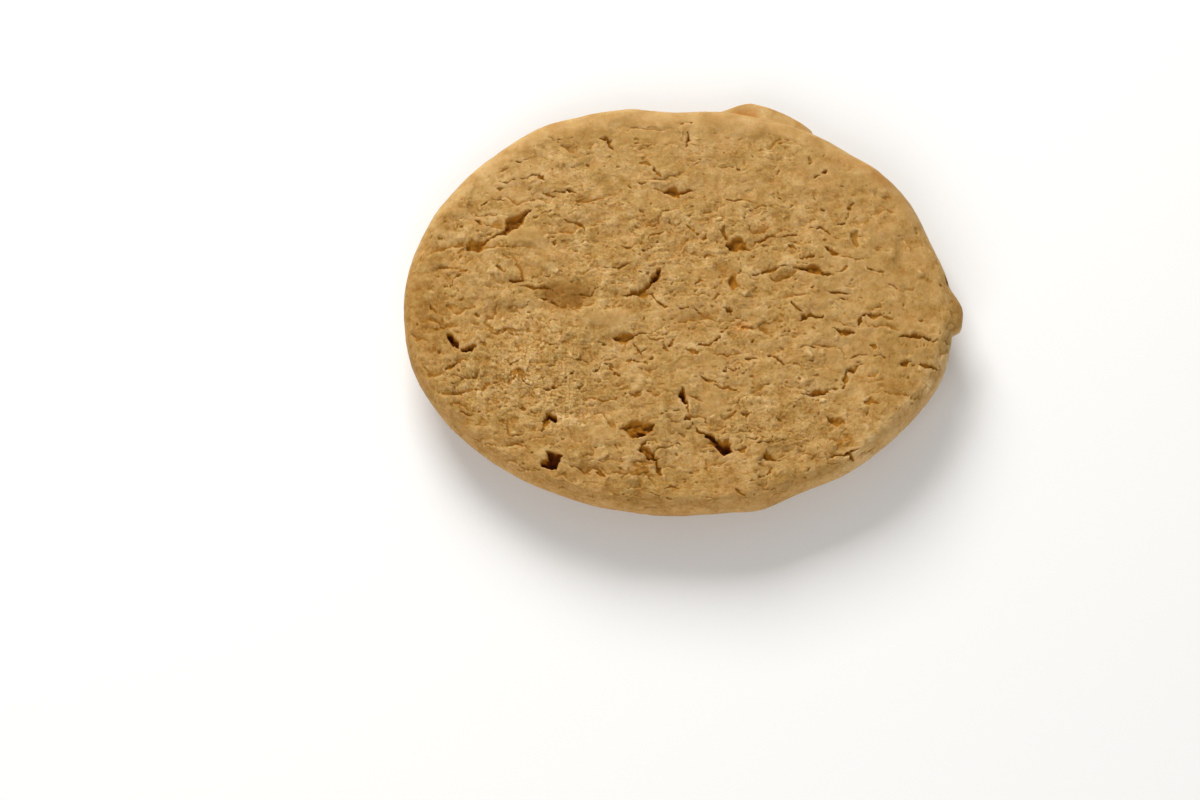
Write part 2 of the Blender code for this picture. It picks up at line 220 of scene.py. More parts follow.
# A pit or crack in the face: middle, turn from +X in degrees, length, width
# at its widest, depth and sideways bow (none unless given), in millimetres.
Gash = namedtuple("Gash", "x y turn length width depth bow", defaults=(0.0,))
GASHES = (
    # far side of the face
    Gash(-0.9, 14.8, -8, 2.9, 1.5, 0.93),
    Gash(0.7, 14.9, 3, 2.0, 0.5, 0.50),
    Gash(-0.4, 14.0, -71, 1.0, 0.5, 0.56),
    Gash(0.7, 22.3, 78, 2.4, 0.6, 0.94),
    Gash(0.8, 22.1, -20, 1.0, 0.5, 0.77),
    Gash(-9.4, 21.8, -49, 1.7, 0.8, 0.94),
    Gash(-10.2, 22.3, -3, 1.8, 0.5, 0.50),
    Gash(-4.6, 18.7, -30, 2.6, 0.4, 0.37),
    Gash(-3.4, 17.8, -63, 1.6, 0.5, 0.56),
    Gash(-5.3, 16.1, 5, 1.3, 0.5, 0.37),
    Gash(7.5, 18.3, 45, 0.9, 0.5, 0.43),
    Gash(7.1, 18.7, -46, 1.0, 0.3, 0.31),
    Gash(18.5, 17.9, 50, 0.8, 0.5, 0.56),
    Gash(17.7, 17.0, 20, 0.6, 0.4, 0.43),
    Gash(17.0, 19.1, 45, 0.8, 0.4, 0.31),
    Gash(21.1, 15.6, 20, 0.8, 0.4, 0.37),
    Gash(13.0, 13.8, 15, 0.8, 0.5, 0.56),
    Gash(7.4, 13.6, -4, 4.6, 0.35, 0.37, 0.1),
    Gash(9.1, 15.0, 55, 1.7, 0.3, 0.31),
    Gash(-18.6, 16.8, -58, 1.7, 0.7, 0.56),
    Gash(-19.5, 17.3, 0, 1.5, 0.4, 0.43),
    Gash(-14.5, 14.9, -25, 1.7, 0.8, 0.62),
    Gash(-16.0, 14.8, 12, 2.2, 0.3, 0.31),
    Gash(-17.6, 14.4, -25, 2.6, 0.4, 0.37),
    Gash(-13.8, 19.7, 30, 1.2, 0.35, 0.37),
    Gash(-23.8, 15.2, -30, 0.8, 0.4, 0.37),
    Gash(-13.4, 9.9, -50, 2.0, 0.9, 0.56),
    Gash(-14.8, 10.6, -15, 2.4, 0.4, 0.37),
    Gash(-16.7, 7.5, 75, 1.4, 0.8, 0.50),
    # long groove on the left and the pit at its end
    Gash(-22.0, 10.3, 44, 6.2, 1.4, 1.05, 0.2),
    Gash(-24.9, 8.1, 27, 2.8, 0.6, 0.50),
    Gash(-27.0, 7.0, 22, 3.0, 1.6, 0.87),
    Gash(-29.0, 6.4, 20, 1.4, 0.35, 0.37),
    Gash(-24.4, 10.2, -5, 2.8, 0.35, 0.37),
    Gash(-26.7, 10.4, -50, 1.6, 0.9, 0.56),
    Gash(-28.9, 3.6, -5, 1.3, 0.5, 0.50),
    Gash(-23.8, 3.8, -32, 2.0, 0.5, 0.37),
    Gash(-21.6, 2.3, -5, 2.4, 0.8, 0.68),
    Gash(-21.1, 2.9, -70, 1.5, 0.4, 0.43),
    Gash(-19.0, 1.3, -2, 4.6, 0.5, 0.50),
    Gash(-13.4, 0.4, 5, 3.6, 0.3, 0.31),
    Gash(-15.2, -1.4, -20, 3.6, 0.4, 0.31),
    Gash(-32.6, -1.5, -61, 1.8, 0.4, 0.43),
    Gash(-31.4, -4.4, 0, 1.8, 0.4, 0.37),
    # middle of the face
    Gash(7.0, 7.3, -12, 3.3, 1.9, 0.88),
    Gash(5.4, 9.0, 105, 2.2, 0.6, 0.56, 0.1),
    Gash(11.3, 8.0, 13, 5.0, 0.5, 0.50, 0.15),
    Gash(14.5, 8.7, 3, 2.6, 0.35, 0.37),
    Gash(18.0, 9.3, -18, 2.8, 0.35, 0.37, 0.1),
    Gash(14.0, 6.9, -41, 1.4, 0.9, 0.50),
    Gash(19.3, 6.3, -8, 2.0, 0.8, 0.68),
    Gash(16.9, 3.5, -12, 3.8, 1.1, 0.81),
    Gash(14.8, 3.8, -5, 1.6, 0.5, 0.50),
    Gash(18.8, 3.2, -10, 1.8, 0.5, 0.56),
    Gash(20.9, 3.8, 28, 2.6, 0.35, 0.31),
    Gash(25.2, 3.6, -4, 3.2, 0.4, 0.37),
    Gash(11.4, 3.7, 14, 4.6, 0.5, 0.50, 0.1),
    Gash(6.5, 1.7, 84, 2.4, 1.1, 0.74),
    Gash(7.0, 3.3, 74, 1.5, 0.4, 0.43),
    Gash(2.8, 8.4, 74, 1.3, 0.8, 0.43),
    Gash(-1.4, 10.4, -4, 2.4, 0.35, 0.31),
    Gash(1.1, 9.5, -33, 2.2, 0.35, 0.37),
    Gash(-3.5, 8.5, 22, 3.2, 0.35, 0.31),
    Gash(-7.1, 7.1, 0, 1.8, 0.7, 0.37),
    Gash(3.0, 5.7, 0, 2.5, 0.35, 0.31),
    Gash(-8.2, 4.3, -1, 3.6, 0.45, 0.56),
    Gash(-3.7, 2.6, 60, 2.4, 0.9, 1.19),
    Gash(-4.8, 1.2, 30, 1.8, 0.7, 0.81),
    Gash(-5.6, 0.4, 2, 4.2, 0.7, 0.62),
    Gash(-3.2, -0.5, -35, 2.6, 0.5, 0.50),
    Gash(2.1, 2.0, 0, 1.5, 0.35, 0.37),
    Gash(0.2, -1.4, 0, 2.2, 0.35, 0.37),
    Gash(2.1, -2.3, -45, 2.2, 0.35, 0.37),
    Gash(5.6, -2.0, -15, 1.5, 0.7, 0.56),
    Gash(7.1, -2.7, -30, 2.4, 0.35, 0.31),
    Gash(14.6, -1.3, -35, 1.4, 0.35, 0.50),
    Gash(15.5, -2.9, -51, 1.3, 1.1, 0.81),
    Gash(16.6, -2.7, 10, 2.6, 0.6, 0.50),
    Gash(19.9, 0.7, -6, 3.4, 0.5, 0.50),
    Gash(20.5, -4.8, -12, 3.0, 0.9, 0.74),
    Gash(22.8, -3.4, 64, 1.6, 0.7, 0.62),
    Gash(24.4, -2.6, 6, 3.2, 0.6, 0.56),
    Gash(26.2, -3.0, -25, 1.8, 0.35, 0.31),
    Gash(27.3, 1.3, -12, 1.7, 0.3, 0.37),
    Gash(29.6, -5.6, -3, 4.4, 0.7, 0.74),
    Gash(31.9, -6.1, -12, 2.4, 0.3, 0.31),
    Gash(28.3, -9.1, 20, 1.8, 0.8, 0.56),
    Gash(31.2, -9.4, -12, 4.1, 0.6, 0.56, -0.1),
    Gash(32.8, -10.0, -25, 1.8, 0.4, 0.43),
    Gash(35.8, 2.8, 70, 2.2, 0.8, 2.40),
    Gash(24.6, -7.0, -20, 1.5, 0.4, 0.37),
    Gash(25.5, -8.3, 0, 0.7, 0.4, 0.43),
    Gash(-7.6, -5.6, 8, 3.5, 1.6, 0.81),
    Gash(-5.6, -5.1, 12, 1.8, 0.5, 0.50),
    Gash(-6.0, -7.3, -45, 2.0, 0.6, 0.43),
    Gash(-1.6, -6.4, 55, 1.9, 0.4, 0.50),
    Gash(-2.5, -7.2, -50, 1.7, 0.35, 0.37),
    Gash(-3.6, -5.9, -12, 2.2, 0.25, 0.25),
    Gash(0.9, -7.7, -5, 2.2, 0.5, 0.37),
    Gash(3.5, -6.2, 24, 4.6, 0.5, 0.50, 0.1),
    Gash(5.2, -4.7, 64, 1.4, 0.3, 0.31),
    # near side of the face
    Gash(-29.5, -6.3, -51, 3.0, 0.8, 1.36, 0.1),
    Gash(-27.6, -7.3, 12, 2.6, 0.9, 1.27),
    Gash(-26.1, -6.5, 5, 1.5, 0.25, 0.31),
    Gash(-29.9, -9.8, 32, 2.3, 0.45, 0.56),
    Gash(-21.3, -10.7, -8, 1.8, 1.1, 0.37),
    Gash(-25.7, -12.6, 15, 1.1, 0.35, 0.37),
    Gash(-27.8, -16.1, -10, 1.9, 0.3, 0.31),
    Gash(-13.3, -12.3, 0, 0.7, 0.35, 0.37),
    Gash(-13.7, -8.7, -28, 3.0, 0.3, 0.25),
    Gash(8.5, -8.7, 8, 1.8, 0.5, 0.56),
    Gash(11.6, -8.6, -20, 2.9, 0.4, 0.50, 0.1),
    Gash(7.1, -10.7, 15, 0.8, 0.4, 0.50),
    Gash(3.2, -11.6, -35, 2.7, 0.5, 0.50),
    Gash(5.4, -12.6, -3, 2.8, 0.4, 0.37),
    Gash(-0.2, -13.8, -80, 3.1, 0.9, 1.36),
    Gash(0.6, -15.7, -58, 2.1, 0.5, 0.50),
    Gash(0.4, -16.8, 29, 1.4, 0.6, 0.68),
    Gash(1.8, -18.2, -58, 2.7, 0.5, 0.56),
    Gash(3.8, -20.0, -38, 3.7, 0.9, 1.27),
    Gash(4.9, -20.7, -36, 3.3, 1.7, 1.85),
    Gash(7.4, -20.9, 12, 2.2, 0.35, 0.37),
    Gash(-6.1, -18.2, 4, 4.8, 2.0, 0.95),
    Gash(-5.8, -18.5, -20, 1.5, 1.2, 1.60),
    Gash(-5.1, -20.3, 59, 1.7, 0.6, 0.62),
    Gash(-4.6, -21.6, -22, 3.3, 1.2, 1.10),
    Gash(-3.4, -23.2, -70, 2.9, 0.7, 0.78),
    Gash(-16.9, -22.5, 22, 3.3, 1.5, 2.00),
    Gash(-17.0, -22.0, -64, 2.3, 1.2, 1.90),
    Gash(-17.1, -16.5, 40, 1.7, 0.9, 1.27),
    Gash(-17.8, -17.7, 62, 1.9, 0.9, 0.56),
    Gash(-11.0, -24.0, 3, 1.6, 0.5, 0.56),
    Gash(-12.3, -24.1, 0, 1.8, 0.25, 0.31),
    Gash(-6.1, -23.9, -50, 1.3, 0.3, 0.31),
    Gash(-1.7, -25.9, -5, 2.1, 0.3, 0.31),
    Gash(7.2, -26.9, -45, 2.3, 0.4, 0.31),
    Gash(7.8, -16.2, 12, 1.5, 0.5, 0.56),
    Gash(6.1, -16.3, 25, 1.1, 0.3, 0.31),
    Gash(10.6, -21.8, -20, 1.7, 1.0, 0.81),
    Gash(11.4, -22.1, -8, 1.8, 0.3, 0.31),
    Gash(10.7, -20.0, 8, 1.7, 0.6, 0.37),
    Gash(10.7, -23.6, 84, 1.1, 0.3, 0.37),
    Gash(17.0, -13.2, 8, 2.0, 0.7, 0.68),
    Gash(18.5, -12.7, 12, 2.4, 0.3, 0.25),
    Gash(20.6, -11.3, 76, 2.8, 0.6, 0.50),
    Gash(21.8, -10.0, -10, 2.0, 0.6, 0.56),
    Gash(19.2, -17.0, -22, 2.7, 1.0, 0.50),
    Gash(23.7, -14.5, -10, 2.2, 0.8, 0.37),
    Gash(21.2, -21.5, 15, 1.8, 0.8, 1.27),
    Gash(19.7, -21.9, 0, 2.5, 0.4, 0.50),
    Gash(21.6, -22.2, -71, 1.9, 0.6, 1.02),
    Gash(22.1, -21.0, 24, 1.3, 0.35, 0.50),
    Gash(11.8, -16.6, -35, 1.1, 0.5, 0.37),
)

# A shallow hollow where a flake of dough has come away, in millimetres
Hollow = namedtuple("Hollow", "x y length width depth")
HOLLOWS = (
    Hollow(-15.0, 0.4, 8.2, 4.6, 0.85),
    Hollow(-21.0, 7.1, 3.4, 1.2, 0.25),
    Hollow(21.7, -9.9, 2.6, 1.4, 0.35),
)

# A soft-edged oval part of the face and how strongly it counts there: first where the
# face is calmer, where it has fewer cracks, its smooth mounds (in millimetres) and where
# it is more crumbly, then where it baked toasted, where it is browned or darker with painted
# shade, and where it is floury
Patch = namedtuple("Patch", "x y length width amount")
CALM = (
    Patch(-4.0, 24.0, 52.0, 6.0, 0.8),
    Patch(-22.0, 17.0, 16.0, 12.0, 0.5),
    Patch(20.0, 18.0, 16.0, 8.0, 0.7),
    Patch(27.0, -2.0, 24.0, 34.0, 0.6),
    Patch(2.0, 17.0, 30.0, 12.0, 0.4),
)
QUIET = (
    Patch(-18.0, -10.0, 22.0, 10.0, 0.8),
    Patch(16.0, -16.0, 18.0, 8.0, 0.7),
    Patch(20.0, 15.0, 20.0, 9.0, 0.7),
    Patch(2.0, -10.5, 10.0, 5.0, 0.7),
    Patch(-2.0, 17.5, 24.0, 6.0, 0.5),
    Patch(-18.5, 6.5, 9.0, 4.5, 0.9),
    Patch(-10.5, -3.0, 8.0, 4.0, 0.9),
    Patch(9.0, -2.0, 7.0, 5.0, 0.6),
    Patch(26.0, 1.0, 10.0, 5.0, 0.6),
    Patch(-27.0, 1.0, 8.0, 8.0, 0.5),
)
MOUNDS = (
    Patch(-20.6, 8.4, 5.6, 3.0, 0.40),
    Patch(-9.6, -2.9, 8.5, 2.6, 0.28),
    Patch(3.8, -14.8, 4.0, 4.5, 0.22),
    Patch(-10.5, -18.9, 4.0, 2.6, 0.22),
)
CRUMBLY = (
    Patch(-21.0, -10.5, 24.0, 16.0, 1.0),
    Patch(-16.8, -15.5, 10.0, 7.0, 1.0),
    Patch(-10.0, 2.0, 14.0, 10.0, 0.5),
    Patch(12.0, -17.0, 20.0, 8.0, 0.4),
    Patch(0.0, 9.0, 20.0, 10.0, 0.4),
)
TOASTED = (
    Patch(7.3, -4.3, 2.6, 2.0, 0.9),
    Patch(26.8, 17.5, 4.0, 3.0, 0.6),
    Patch(9.2, 28.2, 4.2, 2.4, 1.8),
    Patch(24.0, 19.5, 12.0, 3.0, 0.3),
)
# Browned dough and painted shade: the patches along the rim, in the hollow, in the wide pit and in the
# crease by the nub are painted shade; the spot on the lump is browned dough
BROWNED_AND_SHADED = (
    Patch(-39.0, -2.0, 22.0, 26.0, 0.8),
    Patch(30.0, -12.0, 12.0, 22.0, 0.6),
    Patch(-15.4, 0.2, 8.0, 4.4, 2.3),
    Patch(-6.0, -18.2, 5.0, 2.4, 2.0),
    Patch(9.2, 28.2, 3.8, 1.8, 0.8),
    Patch(-34.0, 12.0, 10.0, 12.0, 0.2),
    Patch(31.0, 9.0, 14.0, 22.0, 0.28),
    Patch(22.0, 17.0, 16.0, 9.0, 0.28),
    Patch(36.8, -1.8, 5.5, 6.0, 1.0),
    Patch(36.0, 2.8, 1.2, 1.4, 3.0),
)
FLOURY = (
    Patch(31.5, -12.0, 2.0, 4.6, 0.8),
    Patch(-15.9, -17.0, 1.4, 1.8, 0.8),
    Patch(38.0, -11.0, 6.0, 20.0, 0.6),
    Patch(13.0, 28.6, 6.0, 2.4, 0.4),
    Patch(-20.0, 17.0, 30.0, 14.0, 0.16),
    Patch(-9.4, -6.8, 3.0, 1.6, 0.6),
    Patch(-12.6, -26.0, 1.6, 1.0, 0.8),
)


class CookieShape(bpy.types.PropertyGroup):
    """Sizes of the cookie and of its baked surface."""

    length: FloatProperty(
        name="Length",
        description="Longest side of the cookie without its nub",
        default=0.072,
        min=0.04,
        max=0.12,
        subtype="DISTANCE",
        unit="LENGTH",
        precision=4,
    )
    width: FloatProperty(
        name="Width",
        description="Shorter side of the cookie",
        default=0.0566,
        min=0.03,
        max=0.12,
        subtype="DISTANCE",
        unit="LENGTH",
        precision=4,
    )
    thickness: FloatProperty(
        name="Thickness",
        description="Height of the flat face above the spot it lies on",
        default=0.0095,
        min=0.006,
        max=0.02,
        subtype="DISTANCE",
        unit="LENGTH",
        precision=4,
    )
    crack_depth: FloatProperty(
        name="Crack depth",
        description="Depth of the fine cracks between the scales of the face",
        default=0.00019,
        min=0.0,
        max=0.001,
        subtype="DISTANCE",
        unit="LENGTH",
        precision=5,
    )
    flake_thickness: FloatProperty(
        name="Flake thickness",
        description="Height of the ledges where thin flakes have broken off",
        default=0.00004,
        min=0.0,
        max=0.0005,
        subtype="DISTANCE",
        unit="LENGTH",
        precision=5,
    )
    grain_height: FloatProperty(
        name="Grain height",
        description="Height of the dough's coarse grain",
        default=0.00008,
        min=0.0,
        max=0.0003,
        subtype="DISTANCE",
        unit="LENGTH",
        precision=5,
    )
    small_cracks: IntProperty(
        name="Small cracks",
        description="Number of small scattered cracks",
        default=40,
        min=0,
        max=1000,
    )
    pores: IntProperty(
        name="Pores",
        description="Number of pinholes in the face",
        default=480,
        min=0,
        max=3000,
    )
    crumbs: IntProperty(
        name="Crumbs",
        description="Number of raised crumbs on the face",
        default=650,
        min=0,
        max=3000,
    )
    triangles: IntProperty(
        name="Triangles",
        description="Number of triangles that the finished mesh keeps",
        default=192000,
        min=20000,
        max=198000,
    )


class CookieFinish(bpy.types.PropertyGroup):
    """Colours of the baked dough."""

    crumb: FloatVectorProperty(
        name="Crumb",
        description="Main colour of the baked face",
        default=(0.435, 0.266, 0.088),
        min=0.0,
        max=1.0,
        subtype="COLOR",
    )
    rosy: FloatVectorProperty(
        name="Rosy crumb",
        description="Pinker tan of some parts of the face",
        default=(0.440, 0.262, 0.088),
        min=0.0,
        max=1.0,
        subtype="COLOR",
    )
    crust: FloatVectorProperty(
        name="Crust",
        description="Golden colour of the smooth edge and dome",
        default=(0.466, 0.277, 0.095),
        min=0.0,
        max=1.0,
        subtype="COLOR",
    )
    # orange brown of toasted spots, used also for painted warm shade in low spots and on the near wall
    toasted_and_shade: FloatVectorProperty(
        name="Toasted",
        description="Orange brown of the spots that baked longest",
        default=(0.430, 0.190, 0.042),
        min=0.0,
        max=1.0,
        subtype="COLOR",
    )
    floury: FloatVectorProperty(
        name="Floury",
        description="Pale colour of loose crumbs and broken edges",
        default=(0.600, 0.400, 0.165),
        min=0.0,
        max=1.0,
        subtype="COLOR",
    )
    # painted warm shade inside pits and cracks
    pit: FloatVectorProperty(
        name="Pit",
        description="Deep warm brown inside pits and cracks",
        default=(0.352, 0.142, 0.010),
        min=0.0,
        max=1.0,
        subtype="COLOR",
    )
    # painted shade at the bottom of the deepest pits
    deepest_pit_shade: FloatVectorProperty(
        name="Depths",
        description="Dark red brown at the bottom of the deepest pits",
        default=(0.130, 0.030, 0.003),
        min=0.0,
        max=1.0,
        subtype="COLOR",
    )
    crack: FloatVectorProperty(
        name="Crack",
        description="Brown of the finest cracks and specks",
        default=(0.265, 0.110, 0.006),
        min=0.0,
        max=1.0,
        subtype="COLOR",
    )


class StudioSettings(bpy.types.PropertyGroup):
    """Floor and lights around the cookie."""

    floor: FloatVectorProperty(
        name="Floor",
        description="Colour of the plain floor",
        default=(0.86, 0.86, 0.855),
        min=0.0,
        max=1.0,
        subtype="COLOR",
    )
    key_power: FloatProperty(
        name="Key light",
        description="Power of the large light beyond the far side",
        default=3.4,
        min=0.0,
        unit="POWER",
    )
    front_power: FloatProperty(
        name="Front light",
        description="Power of the weak light on the near side",
        default=2.2,
        min=0.0,
        unit="POWER",
    )
    sky: FloatProperty(
        name="Room light",
        description="Brightness of the even light from all round",
        default=0.30,
        min=0.0,
        max=3.0,
    )


# ---------------------------------------------------------------- form


def ease(value, low, high):
    """Smooth step from 0 at low to 1 at high."""
    share = np.clip((value - low) / (high - low), 0.0, 1.0)
    return share * share * (3.0 - 2.0 * share)


def oval(angle, length, width):
    """Distance from the middle to an ellipse's edge at each angle."""
    a = length / 2
    b = width / 2
    return a * b / np.hypot(b * np.cos(angle), a * np.sin(angle))


def degrees_from(angle, place):
    """Degrees round from a place on the outline, between -180 and 180."""
    return (np.degrees(angle) - place + 180.0) % 360.0 - 180.0


def bell(angle, bulge):
    """One bulge round the outline."""
    return bulge.height * np.exp(-(degrees_from(angle, bulge.angle) / bulge.spread) ** 2)


def lump_height(angle, lump):
    """How far one lump stands out from the side wall."""
    past = -degrees_from(angle, lump.peak)
    rise = 1.0 - ease(-past, 0.0, lump.before)
    fall = 1.0 - (1.0 - lump.end_share) * np.clip(past / lump.after, 0.0, 1.0) ** 2
    broken = 1.0 - ease(past, lump.after, lump.after + LUMP_BREAK)
    return lump.height * rise * fall * broken


def outline(angle, length, width):
    """Distance from the middle to the cookie's widest line at each angle."""
    reach = oval(angle, length, width)
    for bulge in BULGES:
        reach = reach + bell(angle, bulge)
    return reach


def shoulder_inset(angle):
    """Width of the rounded edge: wider on the far side than on the near side."""
    return SHOULDER_INSET + INSET_LEAN * np.sin(angle)


def tip_level(angle, thickness):
    """Height of the widest line above the foot at each angle."""
    wave = 0.6 * np.sin(2.0 * angle + 0.8) + 0.4 * np.sin(3.0 * angle + 2.1)
    return thickness - SHOULDER_DROP + TIP_WAVE * wave


def waves(x, y, seed, count, wave_length):
    """Sum of plane waves in seeded directions, mostly between -1 and 1."""
    draw = np.random.default_rng(seed)
    total = np.zeros_like(x)
    for _ in range(count):
        heading = draw.uniform(0.0, math.pi)
        phase = draw.uniform(0.0, 2.0 * math.pi)
        stretch = wave_length * draw.uniform(0.6, 1.6)
        path = x * math.cos(heading) + y * math.sin(heading)
        total = total + np.sin(2.0 * math.pi * path / stretch + phase)
    return total / math.sqrt(count)


def plates(x, y, length, width):
    """Height of the crazed face: each plate has its own level and blends at its edge."""
    draw = np.random.default_rng(PLATE_SEED)
    columns = int(length / PLATE_SIZE) + 1
    rows = int(width / PLATE_SIZE) + 1
    total = np.zeros_like(x)
    weights = np.full_like(x, 1e-9)
    nearest = np.full_like(x, np.inf)
    centres = []
    for column in range(columns):
        for row in range(rows):
            across = (column + draw.uniform(0.0, 1.0)) * PLATE_SIZE - length / 2
            along = (row + draw.uniform(0.0, 1.0)) * PLATE_SIZE - width / 2
            centres.append((across, along, draw.uniform(-1.0, 1.0)))
            nearest = np.minimum(nearest, np.hypot(x - across, y - along))
    for across, along, level in centres:
        weight = np.exp(-(np.hypot(x - across, y - along) - nearest) / (PLATE_EDGE / 2))
        total = total + weight * level
        weights = weights + weight
    return total / weights * PLATE_STEP


Form = namedtuple("Form", "points face_part inward unrolled")


def smooth_form(ball, shape):
    """Carry a unit ball to the cookie's smooth form.

    Gives the points, how far each belongs to the face (1) or the side (0), its way in
    from the face's edge and its place on the skin unrolled to a flat sheet.
    """
    length = shape.length / MM
    width = shape.width / MM
    thickness = shape.thickness / MM
    share = (1.0 - ball[:, 2]) / 2.0
    angle = np.arctan2(ball[:, 1], ball[:, 0])
    rim = outline(angle, length, width)
    foot = oval(angle, FOOT_LENGTH, FOOT_WIDTH)
    tip = tip_level(angle, thickness)
    inset = shoulder_inset(angle)

    # flat face
    out = np.sqrt(np.clip(share / FACE_SHARE, 0.0, 1.0))
    reach = out * (rim - inset)
    height = np.full_like(reach, thickness)

    # rounded shoulder, down to the widest line
    turn = np.clip((share - FACE_SHARE) / SHOULDER_SHARE, 0.0, 1.0) * math.pi / 2
    power = 2.0 / SHOULDER_FULLNESS
    on_shoulder = share > FACE_SHARE
    shoulder_reach = rim - inset * (1.0 - np.sin(turn) ** power)
    shoulder_height = thickness - (thickness - tip) * (1.0 - np.cos(turn) ** power)
    reach = np.where(on_shoulder, shoulder_reach, reach)
    height = np.where(on_shoulder, shoulder_height, height)

    # domed side, from the widest line in to the foot
    dome_start = FACE_SHARE + SHOULDER_SHARE
    dome_share = 1.0 - dome_start - FOOT_SHARE
    turn = np.clip((share - dome_start) / dome_share, 0.0, 1.0) * math.pi / 2
    power = 2.0 / DOME_FULLNESS
    on_dome = share > dome_start
    reach = np.where(on_dome, foot + (rim - foot) * np.cos(turn) ** power, reach)
    height = np.where(on_dome, tip * (1.0 - np.sin(turn) ** power), height)

    # flat foot
    on_foot = share > 1.0 - FOOT_SHARE
    foot_out = np.sqrt(np.clip((1.0 - share) / FOOT_SHARE, 0.0, 1.0))
    reach = np.where(on_foot, foot_out * foot, reach)
    height = np.where(on_foot, 0.0, height)

    # lumps on the side wall, fading out towards the face and the foot
    level = (thickness - height) / (thickness - tip)
    above_foot = np.clip(height / tip, 0.0, 1.0)
    for lump in LUMPS:
        reach = reach + lump_height(angle, lump) * ease(level, lump.top, lump.foot) * above_foot

    x = reach * np.cos(angle)
    y = reach * np.sin(angle)
    middle_x = (x.max() + x.min()) / 2
    middle_y = (y.max() + y.min()) / 2
    x = x - middle_x
    y = y - middle_y
    face_part = np.clip((height - tip) / (thickness - tip), 0.0, 1.0)
    swell = SWELL_HEIGHT * waves(x, y, SWELL_SEED, SWELL_COUNT, SWELL_LENGTH)
    high = height + plates(x, y, length, width) * face_part + swell * above_foot

    path = np.where(on_dome, 2.0 * rim - reach, reach) + thickness - height
    inward = rim - inset - path
    unrolled = np.stack((path * np.cos(angle) - middle_x, path * np.sin(angle) - middle_y))
    return Form(np.stack((x, y, high), axis=1), face_part, inward, unrolled)


# ---------------------------------------------------------------- surface


def grain(x, y, size, seed):
    """Smooth uneven height, mostly between -1 and 1, with lumps of one size."""
    draw = np.random.default_rng(seed)
    turn = draw.uniform(0.0, math.pi)
    count = int(2.0 * 1.5 * PATTERN_REACH / size) + 4
    heading = draw.uniform(0.0, 2.0 * math.pi, (count, count))
    lean_u = np.cos(heading)
    lean_v = np.sin(heading)
    u = (x * math.cos(turn) - y * math.sin(turn)) / size + count / 2
    v = (x * math.sin(turn) + y * math.cos(turn)) / size + count / 2
    column = np.floor(u).astype(int)
    row = np.floor(v).astype(int)
    u = u - column
    v = v - row
    share_u = u * u * (3.0 - 2.0 * u)
    share_v = v * v * (3.0 - 2.0 * v)
    total = np.zeros_like(x)
    for right in (0, 1):
        for up in (0, 1):
            place = (column + right, row + up)
            lean = lean_u[place] * (u - right) + lean_v[place] * (v - up)
            weight = (share_u if right else 1.0 - share_u) * (share_v if up else 1.0 - share_v)
            total = total + weight * lean
    return total * 1.6


def rough_grain(x, y, size, seed):
    """Grain with finer and finer layers on it."""
    total = np.zeros_like(x)
    for layer in range(GRAIN_LAYERS):
        total = total + grain(x, y, size / 2.0 ** layer, seed + layer) / 2.0 ** layer
    return total


Scales = namedtuple("Scales", "level border crosswise corner to_x to_y")


def scales(x, y, size, stretch, seed):
    """Scales of crust: each one's level, the distance to its border in millimetres, how far
    that border runs crosswise, from 0 (along Y) to 1 (along X), how near three of them
    meet (1 at the corner) and the way to the scale's middle."""
    draw = np.random.default_rng(seed)
    count = int(2.0 * PATTERN_REACH / size) + 4
    offset = draw.uniform(0.1, 0.9, (2, count, count))
    level = draw.uniform(-1.0, 1.0, (count, count))
    u = x / (size * stretch) + count / 2
    v = y / size + count / 2
    column = np.floor(u).astype(int)
    row = np.floor(v).astype(int)
    first = np.full((3,) + x.shape, np.inf)
    second = np.full((3,) + x.shape, np.inf)
    third = np.full(x.shape, np.inf)
    own_level = np.zeros_like(x)
    for right in (-1, 0, 1):
        for up in (-1, 0, 1):
            place = (column + right, row + up)
            to_x = (column + right + offset[0][place] - u) * size * stretch
            to_y = (row + up + offset[1][place] - v) * size
            away = np.hypot(to_x, to_y)
            here = np.stack((away, to_x, to_y))
            nearer = away < first[0]
            between = ~nearer & (away < second[0])
            pushed = np.where(nearer | between, second[0], away)
            third = np.minimum(third, pushed)
            second = np.where(nearer, first, np.where(between, here, second))
            first = np.where(nearer, here, first)
            own_level = np.where(nearer, level[place], own_level)
    gap_x = second[1] - first[1]
    gap_y = second[2] - first[2]
    gap = np.hypot(gap_x, gap_y) + 1e-6
    border = (second[0] ** 2 - first[0] ** 2) / (2.0 * gap)
    corner = np.exp(-(third - first[0]) / (0.16 * size))
    return Scales(own_level, border, np.abs(gap_y) / gap, corner, first[1], first[2])


def tilted(cells, slope):
    """Height of scales that each lean their own way."""
    turn = 9.0 * cells.level
    return slope * (np.cos(turn) * cells.to_x + np.sin(turn) * cells.to_y)


def patch_map(x, y, patches):
    """How strongly the soft-edged patches count at each point."""
    total = np.zeros_like(x)
    for patch in patches:
        away = np.hypot((x - patch.x) / (patch.length / 2), (y - patch.y) / (patch.width / 2))
        total = np.maximum(total, patch.amount * (1.0 - ease(away, PATCH_TOP, PATCH_FOOT)))
    return total


def in_own_axes(x, y, mark):
    """Place of each point in a mark's own axes: along its length and across it."""
    turn = math.radians(mark.turn)
    from_x = x - mark.x
    from_y = y - mark.y
    along = from_x * math.cos(turn) + from_y * math.sin(turn)
    across = from_y * math.cos(turn) - from_x * math.sin(turn)
    return along, across


